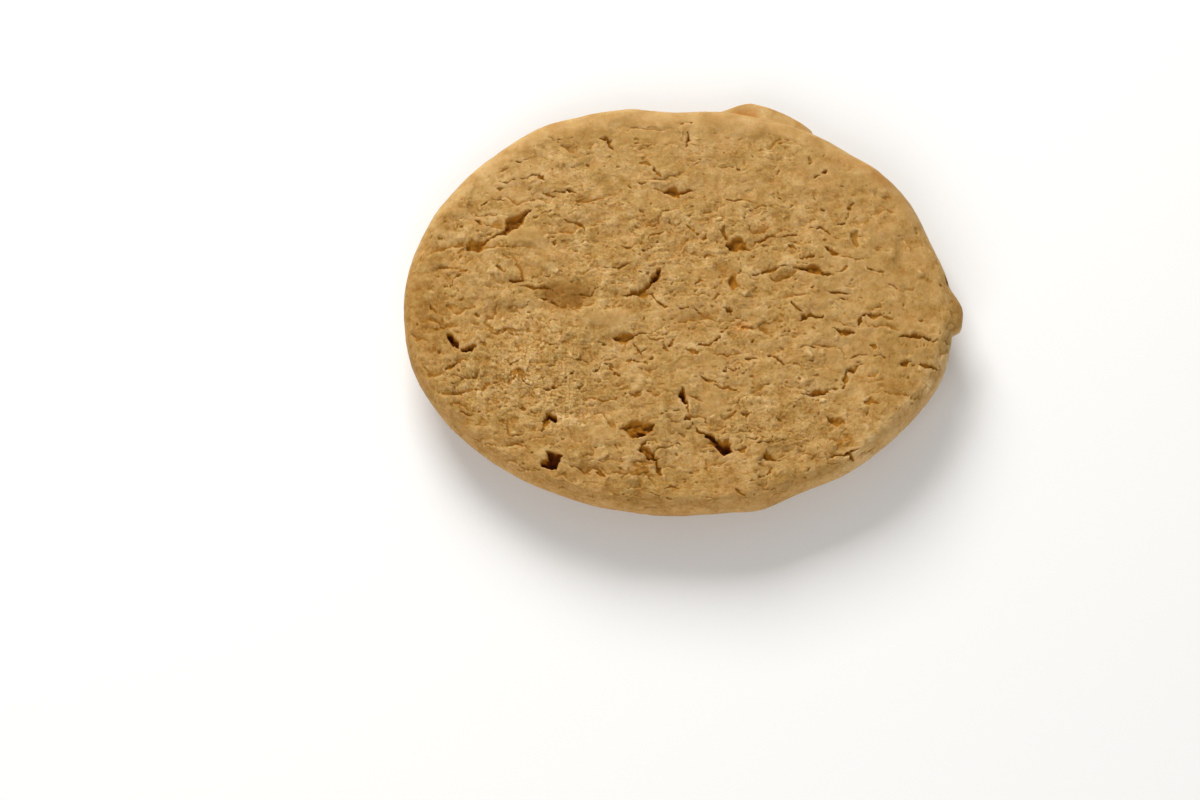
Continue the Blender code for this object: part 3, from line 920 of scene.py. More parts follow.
def gash_shape(x, y, gash):
    """Depth of one pit or crack, tapering to both its ends."""
    along, across = in_own_axes(x, y, gash)
    along = along / (gash.length / 2)
    inside = np.clip(1.0 - np.abs(along), 0.0, 1.0)
    across = across - gash.bow * inside
    half_width = PIT_SPREAD / 2 * gash.width * inside ** PIT_POINT + 1e-6
    wall = np.clip(1.0 - np.abs(across) / half_width, 0.0, 1.0)
    uneven = 1.0 + PIT_UNEVEN * along * math.sin(13.0 * gash.x + 7.0 * gash.y)
    return gash.depth * uneven * np.clip(PIT_WALL * wall, 0.0, 1.0) ** PIT_FLOOR


def hollow_depth(x, y):
    """Depth of the shallow hollows: each one's floor falls towards its near edge."""
    total = np.zeros_like(x)
    for hollow in HOLLOWS:
        away_x = (x - hollow.x) / (hollow.length / 2)
        away_y = (y - hollow.y) / (hollow.width / 2)
        ramp = HOLLOW_MIDDLE - HOLLOW_TILT * np.clip(away_y, -1.0, 1.0)
        wall = np.clip(HOLLOW_WALL * (1.0 - np.hypot(away_x, away_y)), 0.0, 1.0)
        total = np.maximum(total, hollow.depth * ramp * wall)
    return total


def terraces(x, y, size, seed):
    """Troughs that deepen softly towards the near side and end at a crisp step up: 0 on
    top of a step, 1 at its foot."""
    drift = y / size + 0.8 * rough_grain(x / 1.6, y, 1.7 * size, seed)
    rise = drift - np.floor(drift)
    return np.maximum((1.0 - rise) ** 3, ease(rise, 1.0 - 0.15 / size, 1.0))


Dot = namedtuple("Dot", "x y length width turn depth")


def dot_shape(x, y, dot):
    """One small round pinhole or crumb, as a smooth dome of the given height."""
    along, across = in_own_axes(x, y, dot)
    along = along / (dot.length / 2)
    across = across / (dot.width / 2)
    return dot.depth * np.clip(1.0 - along ** 2 - across ** 2, 0.0, 1.0) ** 0.75


def stamp(x, y, marks, mark_shape):
    """The strongest of many small marks at each point, worked out only near each mark."""
    order = np.argsort(x)
    sorted_x = x[order]
    sorted_y = y[order]
    total = np.zeros_like(x)
    for mark in marks:
        reach = max(mark.length, mark.width) / 2 + 0.3
        start, end = np.searchsorted(sorted_x, (mark.x - reach, mark.x + reach))
        near = start + np.flatnonzero(np.abs(sorted_y[start:end] - mark.y) < reach)
        if near.size:
            total[near] = np.maximum(total[near], mark_shape(sorted_x[near], sorted_y[near], mark))
    back = np.empty_like(total)
    back[order] = total
    return back


def scattered_places(draw, count, length, width, wanted):
    """Seeded places on the face, kept where the wanted strength says so."""
    places = []
    while len(places) < count:
        x = draw.uniform(-length / 2, length / 2, 4 * count)
        y = draw.uniform(-width / 2, width / 2, 4 * count)
        inside = (2.0 * x / length) ** 2 + (2.0 * y / width) ** 2 < 1.0
        kept = inside & (draw.uniform(0.0, 1.0, 4 * count) < wanted(x, y))
        places.extend(zip(x[kept], y[kept]))
    return places[:count]


def small_cracks(count, length, width):
    """Short ragged cracks, each a chain of a few gashes that mostly run along X."""
    draw = np.random.default_rng(SMALL_CRACK_SEED)

    def wanted(x, y):
        return 0.75 - 0.65 * patch_map(x, y, CALM)

    cracks = []
    for x, y in scattered_places(draw, count, length, width, wanted):
        heading = draw.normal(0.0, 22.0)
        opening = draw.uniform(0.14, 0.28)
        depth = draw.uniform(0.20, 0.50)
        for _ in range(draw.integers(2, 6)):
            heading = 0.6 * heading + draw.normal(0.0, 26.0)
            step = draw.uniform(0.5, 1.1)
            end_x = x + step * math.cos(math.radians(heading))
            end_y = y + step * math.sin(math.radians(heading))
            middle_x = (x + end_x) / 2
            middle_y = (y + end_y) / 2
            cracks.append(Gash(middle_x, middle_y, heading, step * 1.5, opening, depth))
            x = end_x
            y = end_y
            opening = opening * draw.uniform(0.75, 1.15)
    return cracks


def pinholes(count, length, width):
    """Tiny round holes in the face."""
    draw = np.random.default_rng(PINHOLE_SEED)

    def wanted(x, y):
        return 0.6 - 0.35 * patch_map(x, y, CALM) + 0.4 * patch_map(x, y, CRUMBLY)

    holes = []
    for x, y in scattered_places(draw, count, length, width, wanted):
        size = 0.18 + 0.34 * draw.uniform(0.0, 1.0) ** 2
        turn = draw.normal(0.0, 35.0)
        holes.append(Dot(x, y, size * draw.uniform(1.0, 2.2), size, turn, 0.7 * size))
    return holes


def raised_crumbs(count, length, width):
    """Crumbs of dough that stand up from the face."""
    draw = np.random.default_rng(RAISED_CRUMB_SEED)

    def wanted(x, y):
        return 0.12 + 0.85 * patch_map(x, y, CRUMBLY)

    crumbs = []
    for x, y in scattered_places(draw, count, length, width, wanted):
        size = 0.28 + 0.55 * draw.uniform(0.0, 1.0) ** 3
        turn = draw.uniform(0.0, 180.0)
        crumbs.append(Dot(x, y, size * draw.uniform(1.0, 1.6), size, turn, 0.28 * size))
    return crumbs


def skin_zones(x, y, form):
    """Where the skin is rough and where calm, how far the rough face runs down the edge and
    where the smooth side wall is. The face gives way to the edge along an uneven line."""
    wander = 0.5 * grain(x, y, 3.0, 50) + 0.25 * grain(x, y, 1.0, 49)
    open_side = ease(np.maximum(0.0, -0.35 * x) - y, -8.0, 8.0)
    open_side = np.maximum(open_side, ease(x - y, 14.0, 30.0))
    rough = ease(form.inward + wander, -1.3 - 4.0 * open_side, 0.9 - 3.2 * open_side)
    calm = np.maximum(patch_map(x, y, CALM), 0.5 * ease(-form.inward, -1.8, 1.5))
    side = ease(-form.inward, 0.2, 2.6)
    return rough, calm, open_side, side


def browning_and_shade(x, y, outward, side):
    """How browned and how toasted the skin is, with painted light: the near edge of the face is
    darker as painted shade, the side wall on its right paler as painted light, and the near
    side wall toasted warmer as painted warm shade."""
    near = ease(-y - 0.4 * x, 4.0, 16.0)
    # painted shade along the near edge of the face
    browned_and_shaded = patch_map(x, y, BROWNED_AND_SHADED) + 0.5 * near * (1.0 - side) * ease(outward, -5.5, -1.0)
    # painted light: the side wall on the right made paler
    browned_and_shaded = browned_and_shaded - 1.5 * ease(outward, -0.6, 0.9) * ease(x, 8.0, 26.0) * ease(-y, 2.0, 8.0)
    # toasted spots, and painted warm shade on the near side wall
    toasted_and_shade = patch_map(x, y, TOASTED) + 0.35 * side * ease(-y, 4.0, 14.0)
    return browned_and_shaded, toasted_and_shade


Torn = namedtuple("Torn", "x y fray_x fray_y crumbs")


def torn_places(x, y):
    """Places shifted so that what is cut there follows the borders of the dough's clumps
    (x and y), and of its single crumbs too (fray_x and fray_y)."""
    clump_x = x + 0.2 * grain(x, y, 0.9, 51)
    clump_y = y + 0.2 * grain(x, y, 0.9, 52)
    clumps = scales(clump_x, clump_y, CLUMP_SIZE, 1.1, 53)
    crumb_x = x + 0.07 * grain(x, y, 0.35, 54)
    crumb_y = y + 0.07 * grain(x, y, 0.35, 55)
    crumbs = scales(crumb_x, crumb_y, CRUMB_SIZE, 1.1, 56)
    ragged_x = RAGGED_REACH * waves(x, y, RAGGED_SEED, RAGGED_COUNT, RAGGED_LENGTH)
    ragged_y = RAGGED_REACH * waves(x, y, RAGGED_SEED + 1, RAGGED_COUNT, RAGGED_LENGTH)
    torn_x = x + ragged_x + 0.30 * clumps.to_x + 0.06 * grain(x, y, 0.36, 57)
    torn_y = y + ragged_y + 0.30 * clumps.to_y + 0.06 * grain(x, y, 0.36, 58)
    return Torn(torn_x, torn_y, torn_x + 0.30 * crumbs.to_x, torn_y + 0.30 * crumbs.to_y, crumbs)


def flake_ledges(torn, thickness):
    """Thin flakes broken off one over the other."""
    strata = 2.6 * rough_grain(torn.fray_x / 1.4, torn.fray_y, 4.2, 60)
    floor = np.floor(strata)
    ledge = ease(strata - floor, 0.0, 0.10)
    return thickness * (floor + ledge - 0.75 * strata)


def crazing(x, y, large, small, quiet, depth):
    """Cracks along some of the scales' borders, widest where three scales meet."""
    gate = ease(grain(x / 1.3, y, 2.6, 76) + 0.6 * large.crosswise - 0.45 * quiet, 0.62, 0.90)
    small_gate = ease(grain(x / 1.3, y, 1.6, 77) + 0.5 * small.crosswise - 0.4 * quiet, 0.72, 1.0)
    gape = 0.06 + 0.42 * large.corner * ease(grain(x, y, 2.5, 79), -0.1, 0.5)
    small_gape = 0.05 + 0.17 * small.corner
    crevices = gate * np.clip(1.7 - large.border / gape, 0.0, 1.0)
    short_crevices = small_gate * np.clip(1.7 - small.border / small_gape, 0.0, 1.0)
    crevices = crevices * (0.8 + 0.8 * large.corner)
    broken = 1.25 * ease(grain(x, y, 0.95, 81), -0.12, 0.28)
    return depth * broken * np.maximum(crevices, 0.7 * short_crevices)


def step_troughs(x, y, torn, quiet, calm):
    """Troughs under crisp steps that face the far side."""
    wide = ease(grain(x / 1.3, y, 4.5, 94) - 0.5 * quiet, -0.20, 0.35)
    narrow = ease(grain(x / 1.3, y, 2.4, 95) - 0.4 * quiet, -0.10, 0.35)
    troughs = TROUGH_DEPTH * wide * terraces(torn.x, torn.y, 3.4, 96)
    small_troughs = SMALL_TROUGH_DEPTH * narrow * terraces(torn.fray_x, torn.fray_y, 1.5, 99)
    return np.maximum(troughs, small_troughs) * (1.0 - 0.3 * calm)


def nick_depth(x, y, torn, quiet, calm):
    """Small ragged pits that crowd together here and there."""
    spread = rough_grain(torn.fray_x / 1.6, torn.fray_y, 1.05, 82) + 0.40 * grain(x, y, 4.0, 85)
    return NICK_DEPTH * ease(spread - 0.30 * quiet - 0.3 * calm, 0.75, 1.35)


def baked_surface(form, shape):
    """Relief of the baked skin over the smooth form, and what its finish reads."""
    length = shape.length / MM
    width = shape.width / MM
    x, y = form.unrolled
    rough, calm, open_side, side = skin_zones(x, y, form)
    browned_and_shaded, toasted_and_shade = browning_and_shade(x, y, -form.inward, side)
    quiet = np.maximum(patch_map(x, y, QUIET), calm)
    torn = torn_places(x, y)

    # pits, cracks, hollows, pinholes and loose crumbs, each in its place
    gashes = stamp(torn.x, torn.y, GASHES, gash_shape)
    gashes = gashes * (0.95 + 0.25 * rough_grain(x, y, 0.9, 59))
    hollows = hollow_depth(torn.fray_x, torn.fray_y)
    cracks = small_cracks(shape.small_cracks, length, width)
    cracks = stamp(torn.fray_x, torn.fray_y, cracks, gash_shape)
    holes = pinholes(shape.pores, length, width)
    holes = stamp((x + torn.fray_x) / 2, (y + torn.fray_y) / 2, holes, dot_shape)
    loose = raised_crumbs(shape.crumbs, length, width)
    loose = stamp(torn.fray_x, torn.fray_y, loose, dot_shape) * rough

    # scales of crust, each at its own level and with its own tilt, crazed between them
    warp_x = x + 0.40 * grain(x, y, 1.6, 70) + 0.9 * (torn.fray_x - x)
    warp_y = y + 0.40 * grain(x, y, 1.6, 72) + 0.9 * (torn.fray_y - y)
    large = scales(warp_x, warp_y, LARGE_SCALE_SIZE, 1.35, 74)
    small = scales(warp_x, warp_y, SMALL_SCALE_SIZE, 1.3, 75)
    lively = 0.35 + 0.65 * ease(grain(x, y, 5.0, 78), -0.5, 0.4)
    pillows = PILLOW_HEIGHT * grain(x / 1.2, y, 2.4, 86)
    pillows = pillows + SMALL_PILLOW_HEIGHT * grain(x / 1.2, y, 1.2, 87)
    pillows = pillows + lively * (0.02 * small.level + tilted(small, 0.03))
    pillows = pillows * (1.0 - 0.6 * calm)
    craze = crazing(x, y, large, small, quiet, shape.crack_depth / MM)

    # smooth mounds and hollows where the skin isn't cracked
    mounds = patch_map(x, y, MOUNDS)
    soft = np.clip(4.0 * np.maximum(mounds, hollows), 0.0, 1.0)

    # grain of the dough
    rounded = 1.0 - np.exp(-torn.crumbs.border / 0.08)
    coarse = 0.6 * grain(x, y, 1.1, 80) + 0.5 * torn.crumbs.level + 0.8 * rounded
    coarse = shape.grain_height / MM * coarse
    crumbly = patch_map(x, y, CRUMBLY)
    coarse = coarse * (0.7 + 0.3 * lively + 1.3 * crumbly) * (1.0 - 0.5 * calm)

    # what stands up
    flakes = flake_ledges(torn, shape.flake_thickness / MM)
    fine_steps = FINE_STEP_DEPTH * (1.0 - 0.8 * calm) * terraces(torn.fray_x, torn.fray_y, 0.75, 103)
    face_relief = (flakes * (1.0 - 0.5 * calm) + pillows + coarse - fine_steps) * (1.0 - 0.7 * soft)
    skin = 0.05 * grain(x, y, 4.0, 90) + 0.020 * grain(x, y, 1.3, 91) + 0.012 * grain(x, y, 0.5, 92)
    rolling = ROLLING_HEIGHT * grain(x / 1.3, y, 6.5, 93) * form.face_part
    relief = face_relief * rough + loose + skin * (1.0 - rough) + rolling + mounds * form.face_part

    # what is cut away
    troughs = step_troughs(x, y, torn, quiet, calm)
    cut = np.maximum(np.maximum(craze, nick_depth(x, y, torn, quiet, calm)), holes)
    cut = (np.maximum(cut, troughs) + 0.4 * troughs) * (1.0 - 0.85 * soft)
    cut = np.maximum(cut * rough, cracks * ease(form.face_part, 0.7, 0.95))
    cut = np.maximum(cut, gashes * ease(form.face_part, 0.0, 0.8)) + hollows * form.face_part

    # what the finish reads
    # the walls of pits and cracks get the pits' painted shade too
    walls = 0.5 * ease(np.maximum(gashes, cracks), 0.05, 0.28) * ease(form.face_part, 0.0, 0.8)
    even = np.maximum(np.maximum(1.0 - rough, calm), 0.7 * soft) * (1.0 - 0.6 * open_side * side)
    layers = {
        "pit": np.maximum(cut - 0.9 * hollows, walls),
        "fine": (face_relief - 0.08) * rough,
        "crumb": loose,
        "crust": 1.0 - rough,
        "even": even,
        "browned_and_shaded": browned_and_shaded,
        "toasted_and_shade": toasted_and_shade,
        "floury": patch_map(x, y, FLOURY),
    }
    return relief - cut, layers


# ---------------------------------------------------------------- mesh


def read_points(mesh):
    points = np.empty(len(mesh.vertices) * 3)
    mesh.vertices.foreach_get("co", points)
    return points.reshape(-1, 3)


def read_normals(mesh):
    normals = np.empty(len(mesh.vertices) * 3)
    mesh.vertex_normals.foreach_get("vector", normals)
    return normals.reshape(-1, 3)


def write_points(mesh, points):
    mesh.vertices.foreach_set("co", points.ravel())
    mesh.update()


def store(mesh, name, values):
    """Keep one value for each point of the mesh, for the finish to read."""
    layer = mesh.attributes.new(name, "FLOAT", "POINT")
    layer.data.foreach_set("value", values.astype(np.float32))


def thinned(thing, triangles):
    """The thing's mesh with only as many triangles as wanted, fewest where it is smooth."""
    thin = thing.modifiers.new("thin", "DECIMATE")
    thin.decimate_type = "COLLAPSE"
    thin.ratio = triangles / len(thing.data.polygons)
    graph = bpy.context.evaluated_depsgraph_get()
    mesh = bpy.data.meshes.new_from_object(thing.evaluated_get(graph))
    thing.modifiers.clear()
    return mesh


def sunken(mesh, relief, rounds):
    """How far each point lies below the points round it."""
    ends = np.empty(len(mesh.edges) * 2, np.int32)
    mesh.edges.foreach_get("vertices", ends)
    start = ends[0::2]
    end = ends[1::2]
    size = len(relief)
    neighbours = np.bincount(ends, minlength=size)
    even = relief
    for _ in range(rounds):
        total = np.bincount(start, even[end], size) + np.bincount(end, even[start], size)
        even = total / neighbours
    return even - relief


def cookie_mesh(thing, shape):
    """Fill the thing's mesh with the cookie and keep what the finish reads from it."""
    ball = bmesh.new()
    bmesh.ops.create_icosphere(ball, subdivisions=BALL_SUBDIVISIONS, radius=1.0)
    ball.to_mesh(thing.data)
    ball.free()
    mesh = thing.data
    form = smooth_form(read_points(mesh), shape)
    write_points(mesh, form.points)
    relief, layers = baked_surface(form, shape)
    raised = form.points + read_normals(mesh) * relief[:, None]
    raised[:, 2] = np.where(form.points[:, 2] < FOOT_LEVEL, form.points[:, 2], raised[:, 2])
    raised[:, 2] = np.maximum(raised[:, 2], 0.0)
    write_points(mesh, raised * MM)
    # how far each point lies below its neighbours, for the finish's painted shade in crevices
    layers["sunken"] = sunken(mesh, relief, CAVITY_ROUNDS)
    for name, values in layers.items():
        store(mesh, name, values)
    mesh.shade_smooth()
    thing.data = thinned(thing, shape.triangles)
    thing.data.name = thing.name
    bpy.data.meshes.remove(mesh)


# ---------------------------------------------------------------- finish


def feed(tree, socket, value):
    """Set a socket, or link it when the value comes from another node."""
    if isinstance(value, bpy.types.NodeSocket):
        tree.links.new(value, socket)
    else:
        socket.default_value = value


def layer_value(tree, name):
    """What the mesh keeps under this name."""
    node = tree.nodes.new("ShaderNodeAttribute")
    node.attribute_type = "GEOMETRY"
    node.attribute_name = name
    return node.outputs["Fac"]


def speckle(tree, place, scale, detail=3.0, roughness=0.6, output="Fac"):
    """Soft spots, between 0 and 1."""
    node = tree.nodes.new("ShaderNodeTexNoise")
    feed(tree, node.inputs["Vector"], place)
    node.inputs["Scale"].default_value = scale
    node.inputs["Detail"].default_value = detail
    node.inputs["Roughness"].default_value = roughness
    return node.outputs[output]


def hairlines(tree, place, scale, width):
    """Thin jagged cracks: 1 in the crack, 0 away from it."""
    shift = tree.nodes.new("ShaderNodeVectorMath")
    shift.operation = "SCALE"
    feed(tree, shift.inputs[0], speckle(tree, place, 2.2 * scale, 3.0, 0.7, "Color"))
    shift.inputs["Scale"].default_value = 0.45 / scale
    moved = tree.nodes.new("ShaderNodeVectorMath")
    moved.operation = "ADD"
    feed(tree, moved.inputs[0], place)
    feed(tree, moved.inputs[1], shift.outputs[0])
    cells = tree.nodes.new("ShaderNodeTexVoronoi")
    cells.feature = "DISTANCE_TO_EDGE"
    feed(tree, cells.inputs["Vector"], moved.outputs[0])
    cells.inputs["Scale"].default_value = scale
    return span(tree, cells.outputs["Distance"], width, 0.2 * width)


def span(tree, value, low, high, to_low=0.0, to_high=1.0):
    """Smooth step of a value, from to_low at low to to_high at high."""
    node = tree.nodes.new("ShaderNodeMapRange")
    node.interpolation_type = "SMOOTHSTEP"
    feed(tree, node.inputs["Value"], value)
    node.inputs["From Min"].default_value = low
    node.inputs["From Max"].default_value = high
    node.inputs["To Min"].default_value = to_low
    node.inputs["To Max"].default_value = to_high
    return node.outputs[0]


def sums(tree, way, first, second):
    """Two values added, multiplied or the like."""
    node = tree.nodes.new("ShaderNodeMath")
    node.operation = way
    feed(tree, node.inputs[0], first)
    feed(tree, node.inputs[1], second)
    return node.outputs[0]


def blend_colours(tree, share, first, second, way="MIX"):
    """The first colour with a share of the second over it."""
    node = tree.nodes.new("ShaderNodeMix")
    node.data_type = "RGBA"
    node.blend_type = way
    feed(tree, node.inputs[0], share)
    feed(tree, node.inputs[6], first)
    feed(tree, node.inputs[7], second)
    return node.outputs[2]


def opaque(colour):
    return (colour[0], colour[1], colour[2], 1.0)


def coated(tree, dough, coats):
    """The dough's colour with one colour after another over it, each by its own share."""
    for share, colour in coats:
        dough = blend_colours(tree, share, dough, opaque(colour))
    return dough


def dough_colour(tree, finish, place, mottle):
    """Tan dough with rosy parts, golden crust, toasted spots, pale crumbs and painted warm
    shade in the low spots and on the near side wall.
    """
    rosy = span(tree, speckle(tree, place, CLOUDS, 3.0, 0.55), 0.38, 0.62)
    crust = span(tree, mottle, 0.2, 0.6, 0.75, 1.0)
    crust = sums(tree, "MULTIPLY", layer_value(tree, "crust"), crust)
    toasted_and_shade = span(tree, mottle, 0.3, 0.7, 0.4, 1.0)
    toasted_and_shade = sums(tree, "MULTIPLY", layer_value(tree, "toasted_and_shade"), toasted_and_shade)
    fine = layer_value(tree, "fine")
    pale = sums(tree, "MULTIPLY", layer_value(tree, "floury"), span(tree, mottle, 0.35, 0.6))
    pale = sums(tree, "MAXIMUM", pale, span(tree, layer_value(tree, "crumb"), 0.05, 0.25, 0.0, 0.75))
    pale = sums(tree, "MAXIMUM", pale, span(tree, fine, 0.03, 0.22, 0.0, 0.28))
    # painted shade: the low spots of the relief coated warmer and darker
    low = span(tree, fine, -0.20, 0.0, 0.16, 0.0)
    coats = (
        (rosy, finish.rosy),
        (crust, finish.crust),
        (toasted_and_shade, finish.toasted_and_shade),
        (pale, finish.floury),
        (low, finish.toasted_and_shade),
    )
    return coated(tree, opaque(finish.crumb), coats)


def baking_tone_and_shade(tree, place, grit, mottle, even, hollow):
    """Grain, browning and painted shade: a colour to multiply the dough by, warmer where darker;
    crevices painted darker and raised points lighter.
    """
    coarse_grit = speckle(tree, place, COARSE_GRIT, 3.0, 0.6)
    tone = span(tree, grit, 0.25, 0.75, -0.10, 0.10)
    tone = sums(tree, "ADD", tone, span(tree, coarse_grit, 0.3, 0.7, -0.10, 0.10))
    tone = sums(tree, "MULTIPLY", tone, span(tree, even, 0.0, 1.0, 1.0, 0.5))
    changes = (
        span(tree, mottle, 0.25, 0.75, -0.08, 0.08),
        sums(tree, "MULTIPLY", layer_value(tree, "browned_and_shaded"), -0.15),
        span(tree, speckle(tree, place, CLOUDS, 2.0, 0.5), 0.35, 0.65, -0.05, 0.05),
        # painted light on points above their neighbours, painted shade in crevices
        span(tree, hollow, -0.06, 0.0, 0.05, 0.0),
        span(tree, hollow, 0.0, 0.11, 0.0, -0.24),
        1.0,
    )
    for change in changes:
        tone = sums(tree, "ADD", tone, change)
    joined = tree.nodes.new("ShaderNodeCombineColor")
    for channel, warmth in enumerate(WARMTH):
        feed(tree, joined.inputs[channel], sums(tree, "POWER", tone, warmth))
    return joined.outputs[0]


def baked_dough(finish):
    """Matte, crumbly dough with a golden crust, pale broken edges and painted warm shade in its
    pits and crevices.
    """
    material = bpy.data.materials.new("baked_dough")
    material.use_nodes = True
    tree = material.node_tree
    shader = tree.nodes["Principled BSDF"]
    place = tree.nodes.new("ShaderNodeTexCoord").outputs["Object"]
    pit = layer_value(tree, "pit")
    even = layer_value(tree, "even")
    hollow = layer_value(tree, "sunken")
    mottle = speckle(tree, place, MOTTLING, 4.0, 0.6)
    grit = speckle(tree, place, GRIT, 3.0, 0.7)

    dough = dough_colour(tree, finish, place, mottle)
    tone = baking_tone_and_shade(tree, place, grit, mottle, even, hollow)
    dough = blend_colours(tree, 1.0, dough, tone, "MULTIPLY")

    # pits, flecks and hair cracks; the pit colours are painted shade: warm in pits, crevices and on
    # pit walls, dark red brown at the bottom of the deepest pits
    painted_pit_shade = span(tree, pit, 0.10, 0.60, 0.0, 0.95)
    painted_pit_shade = sums(tree, "MAXIMUM", painted_pit_shade, span(tree, hollow, 0.02, 0.14, 0.0, 0.50))
    flecks = span(tree, speckle(tree, place, FLECKS, 2.0, 0.6), 0.36, 0.30)
    flecks = sums(tree, "MULTIPLY", flecks, span(tree, even, 0.0, 1.0, 0.75, 0.30))
    drawn_out = tree.nodes.new("ShaderNodeMapping")
    feed(tree, drawn_out.inputs["Vector"], place)
    drawn_out.inputs["Scale"].default_value = HAIR_CRACK_STRETCH
    lines = hairlines(tree, drawn_out.outputs[0], HAIR_CRACKS, HAIR_CRACK_WIDTH)
    patchy = span(tree, speckle(tree, drawn_out.outputs[0], MOTTLING, 3.0, 0.6), 0.50, 0.60)
    lines = sums(tree, "MULTIPLY", lines, patchy)
    lines = sums(tree, "MULTIPLY", lines, span(tree, even, 0.1, 0.9, 0.30, 0.05))
    coats = (
        (painted_pit_shade, finish.pit),
        (span(tree, pit, 0.68, 1.32), finish.deepest_pit_shade),
        (flecks, finish.crack),
        (lines, finish.crack),
    )
    feed(tree, shader.inputs["Base Color"], coated(tree, dough, coats))

    # the crust is a little smoother than the crumb
    roughness = tree.nodes.new("ShaderNodeMix")
    feed(tree, roughness.inputs[0], layer_value(tree, "crust"))
    feed(tree, roughness.inputs[2], span(tree, mottle, 0.3, 0.7, 0.78, 0.95))
    feed(tree, roughness.inputs[3], span(tree, mottle, 0.3, 0.7, 0.50, 0.66))
    feed(tree, shader.inputs["Roughness"], roughness.outputs[0])
    shader.inputs["Specular IOR Level"].default_value = SHINE
    shader.inputs["Subsurface Weight"].default_value = GLOW_SHARE
    shader.inputs["Subsurface Radius"].default_value = GLOW_COLOURS
    shader.inputs["Subsurface Scale"].default_value = GLOW_DEPTH

    bump = tree.nodes.new("ShaderNodeBump")
    bump.inputs["Strength"].default_value = TOOTH_STRENGTH
    bump.inputs["Distance"].default_value = TOOTH_HEIGHT
    tooth = sums(tree, "MULTIPLY", grit, span(tree, even, 0.0, 1.0, 1.0, 0.35))
    tooth = sums(tree, "SUBTRACT", tooth, lines)
    feed(tree, bump.inputs["Height"], tooth)
    feed(tree, shader.inputs["Normal"], bump.outputs[0])
    material.diffuse_color = opaque(finish.crumb)
    return material


def floor_finish(colour):
    """Plain matte surface for the floor."""
    material = bpy.data.materials.new("floor")
    material.use_nodes = True
    shader = material.node_tree.nodes["Principled BSDF"]
    shader.inputs["Base Color"].default_value = opaque(colour)
    shader.inputs["Roughness"].default_value = FLOOR_ROUGHNESS
    shader.inputs["Specular IOR Level"].default_value = FLOOR_SHINE
    return material


# ---------------------------------------------------------------- operators


class BESAN_OT_cookie(bpy.types.Operator):
    """Make the baked cookie in place of its plain solid"""

    bl_idname = "besan.cookie"
    bl_label = "Cookie"

    def execute(self, context):
        mesh = bpy.data.meshes.new("baked_cookie")
        cookie = bpy.data.objects.new("baked_cookie", mesh)
        context.scene.collection.objects.link(cookie)
        cookie_mesh(cookie, context.scene.besan_shape)
        cookie.data.materials.append(baked_dough(context.scene.besan_finish))
        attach(cookie, "root")
        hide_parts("cookie")
        return {"FINISHED"}


def area_light(name, place, size, power, colour):
    """A soft square light that faces the cookie."""
    lamp = bpy.data.lights.new(name, "AREA")
    lamp.shape = "SQUARE"
    lamp.size = size
    lamp.energy = power
    lamp.color = colour
    light = bpy.data.objects.new(name, lamp)
    light.location = place
    light.rotation_euler = (Vector(LIT_POINT) - Vector(place)).to_track_quat("-Z", "Y").to_euler()
    bpy.context.scene.collection.objects.link(light)


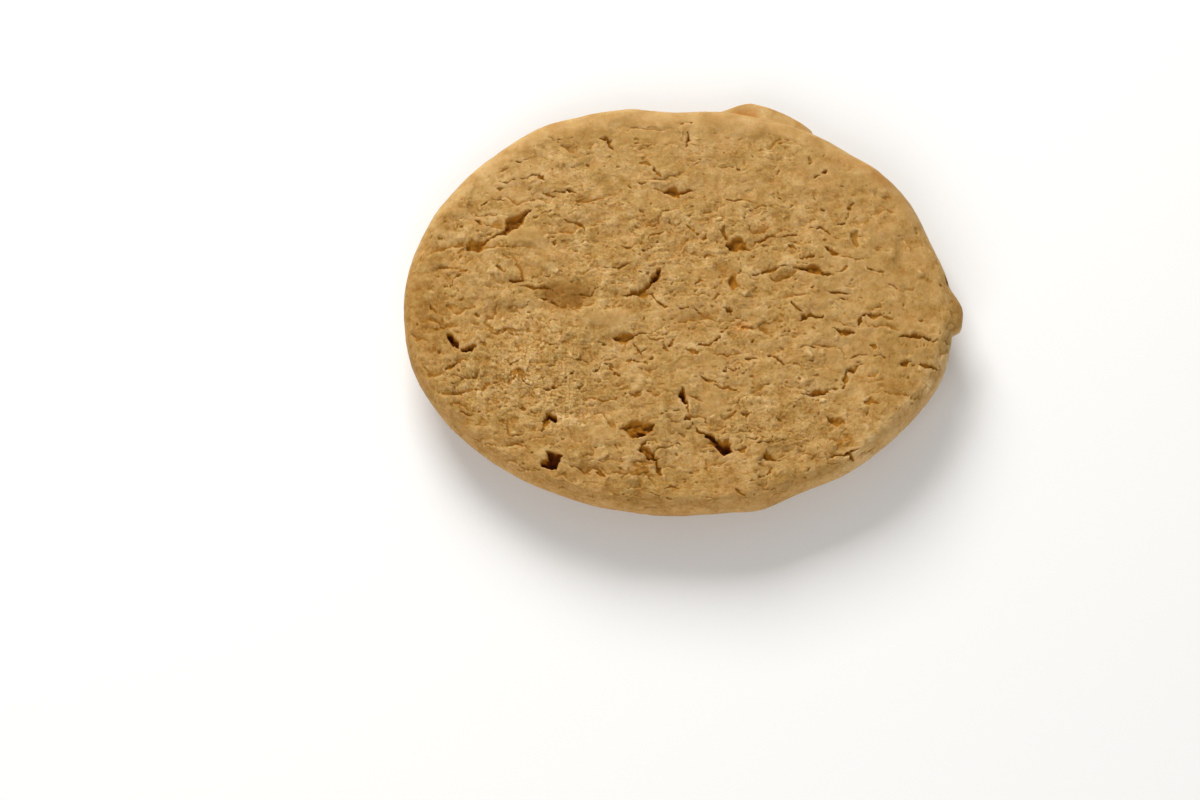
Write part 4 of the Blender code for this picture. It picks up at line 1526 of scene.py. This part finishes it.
class BESAN_OT_studio(bpy.types.Operator):
    """Set up the floor, the soft lights and the camera"""

    bl_idname = "besan.studio"
    bl_label = "Studio"

    def execute(self, context):
        settings = context.scene.besan_studio
        floor_mesh = bpy.data.meshes.new("floor")
        sheet = bmesh.new()
        bmesh.ops.create_grid(sheet, x_segments=1, y_segments=1, size=FLOOR_REACH)
        sheet.to_mesh(floor_mesh)
        sheet.free()
        floor_mesh.materials.append(floor_finish(settings.floor))
        floor = bpy.data.objects.new("floor", floor_mesh)
        context.scene.collection.objects.link(floor)

        world = bpy.data.worlds.new("room")
        world.use_nodes = True
        backdrop = world.node_tree.nodes["Background"]
        backdrop.inputs["Color"].default_value = ROOM_COLOUR
        backdrop.inputs["Strength"].default_value = settings.sky
        context.scene.world = world

        area_light("key", KEY_PLACE, KEY_SIZE, settings.key_power, KEY_COLOUR)
        area_light("front", FRONT_PLACE, FRONT_SIZE, settings.front_power, FRONT_COLOUR)

        lens = bpy.data.cameras.new("camera")
        lens.lens = CAMERA_LENS
        lens.sensor_width = PICTURE_WIDTH
        lens.clip_start = 0.01
        lens.clip_end = 10.0
        camera = bpy.data.objects.new("camera", lens)
        lean = math.radians(CAMERA_ELEVATION)
        back = Vector((0.0, -math.cos(lean), math.sin(lean)))
        camera.location = Vector(CAMERA_AIM) + back * CAMERA_DISTANCE
        camera.rotation_euler = (math.radians(90.0) - lean, 0.0, 0.0)
        context.scene.collection.objects.link(camera)
        context.scene.camera = camera
        context.scene.view_settings.view_transform = "Standard"
        return {"FINISHED"}


class BESAN_PT_panel(bpy.types.Panel):
    """Lists the cookie's settings and the steps that make it"""

    bl_idname = "BESAN_PT_panel"
    bl_label = "Besan cookie"
    bl_space_type = "VIEW_3D"
    bl_region_type = "UI"
    bl_category = "Besan cookie"

    def draw(self, context):
        layout = self.layout
        for group in (context.scene.besan_shape, context.scene.besan_finish, context.scene.besan_studio):
            box = layout.box()
            for name in group.__annotations__:
                box.prop(group, name)
        for operator in (BESAN_OT_cookie, BESAN_OT_studio):
            layout.operator(operator.bl_idname)


CLASSES = (
    CookieShape,
    CookieFinish,
    StudioSettings,
    BESAN_OT_cookie,
    BESAN_OT_studio,
    BESAN_PT_panel,
)


def register():
    for each in CLASSES:
        bpy.utils.register_class(each)
    bpy.types.Scene.besan_shape = PointerProperty(type=CookieShape)
    bpy.types.Scene.besan_finish = PointerProperty(type=CookieFinish)
    bpy.types.Scene.besan_studio = PointerProperty(type=StudioSettings)


def unregister():
    del bpy.types.Scene.besan_studio
    del bpy.types.Scene.besan_finish
    del bpy.types.Scene.besan_shape
    for each in reversed(CLASSES):
        bpy.utils.unregister_class(each)


def main():
    register()
    bpy.ops.besan.cookie()
    bpy.ops.besan.studio()


if __name__ == "__main__":
    main()
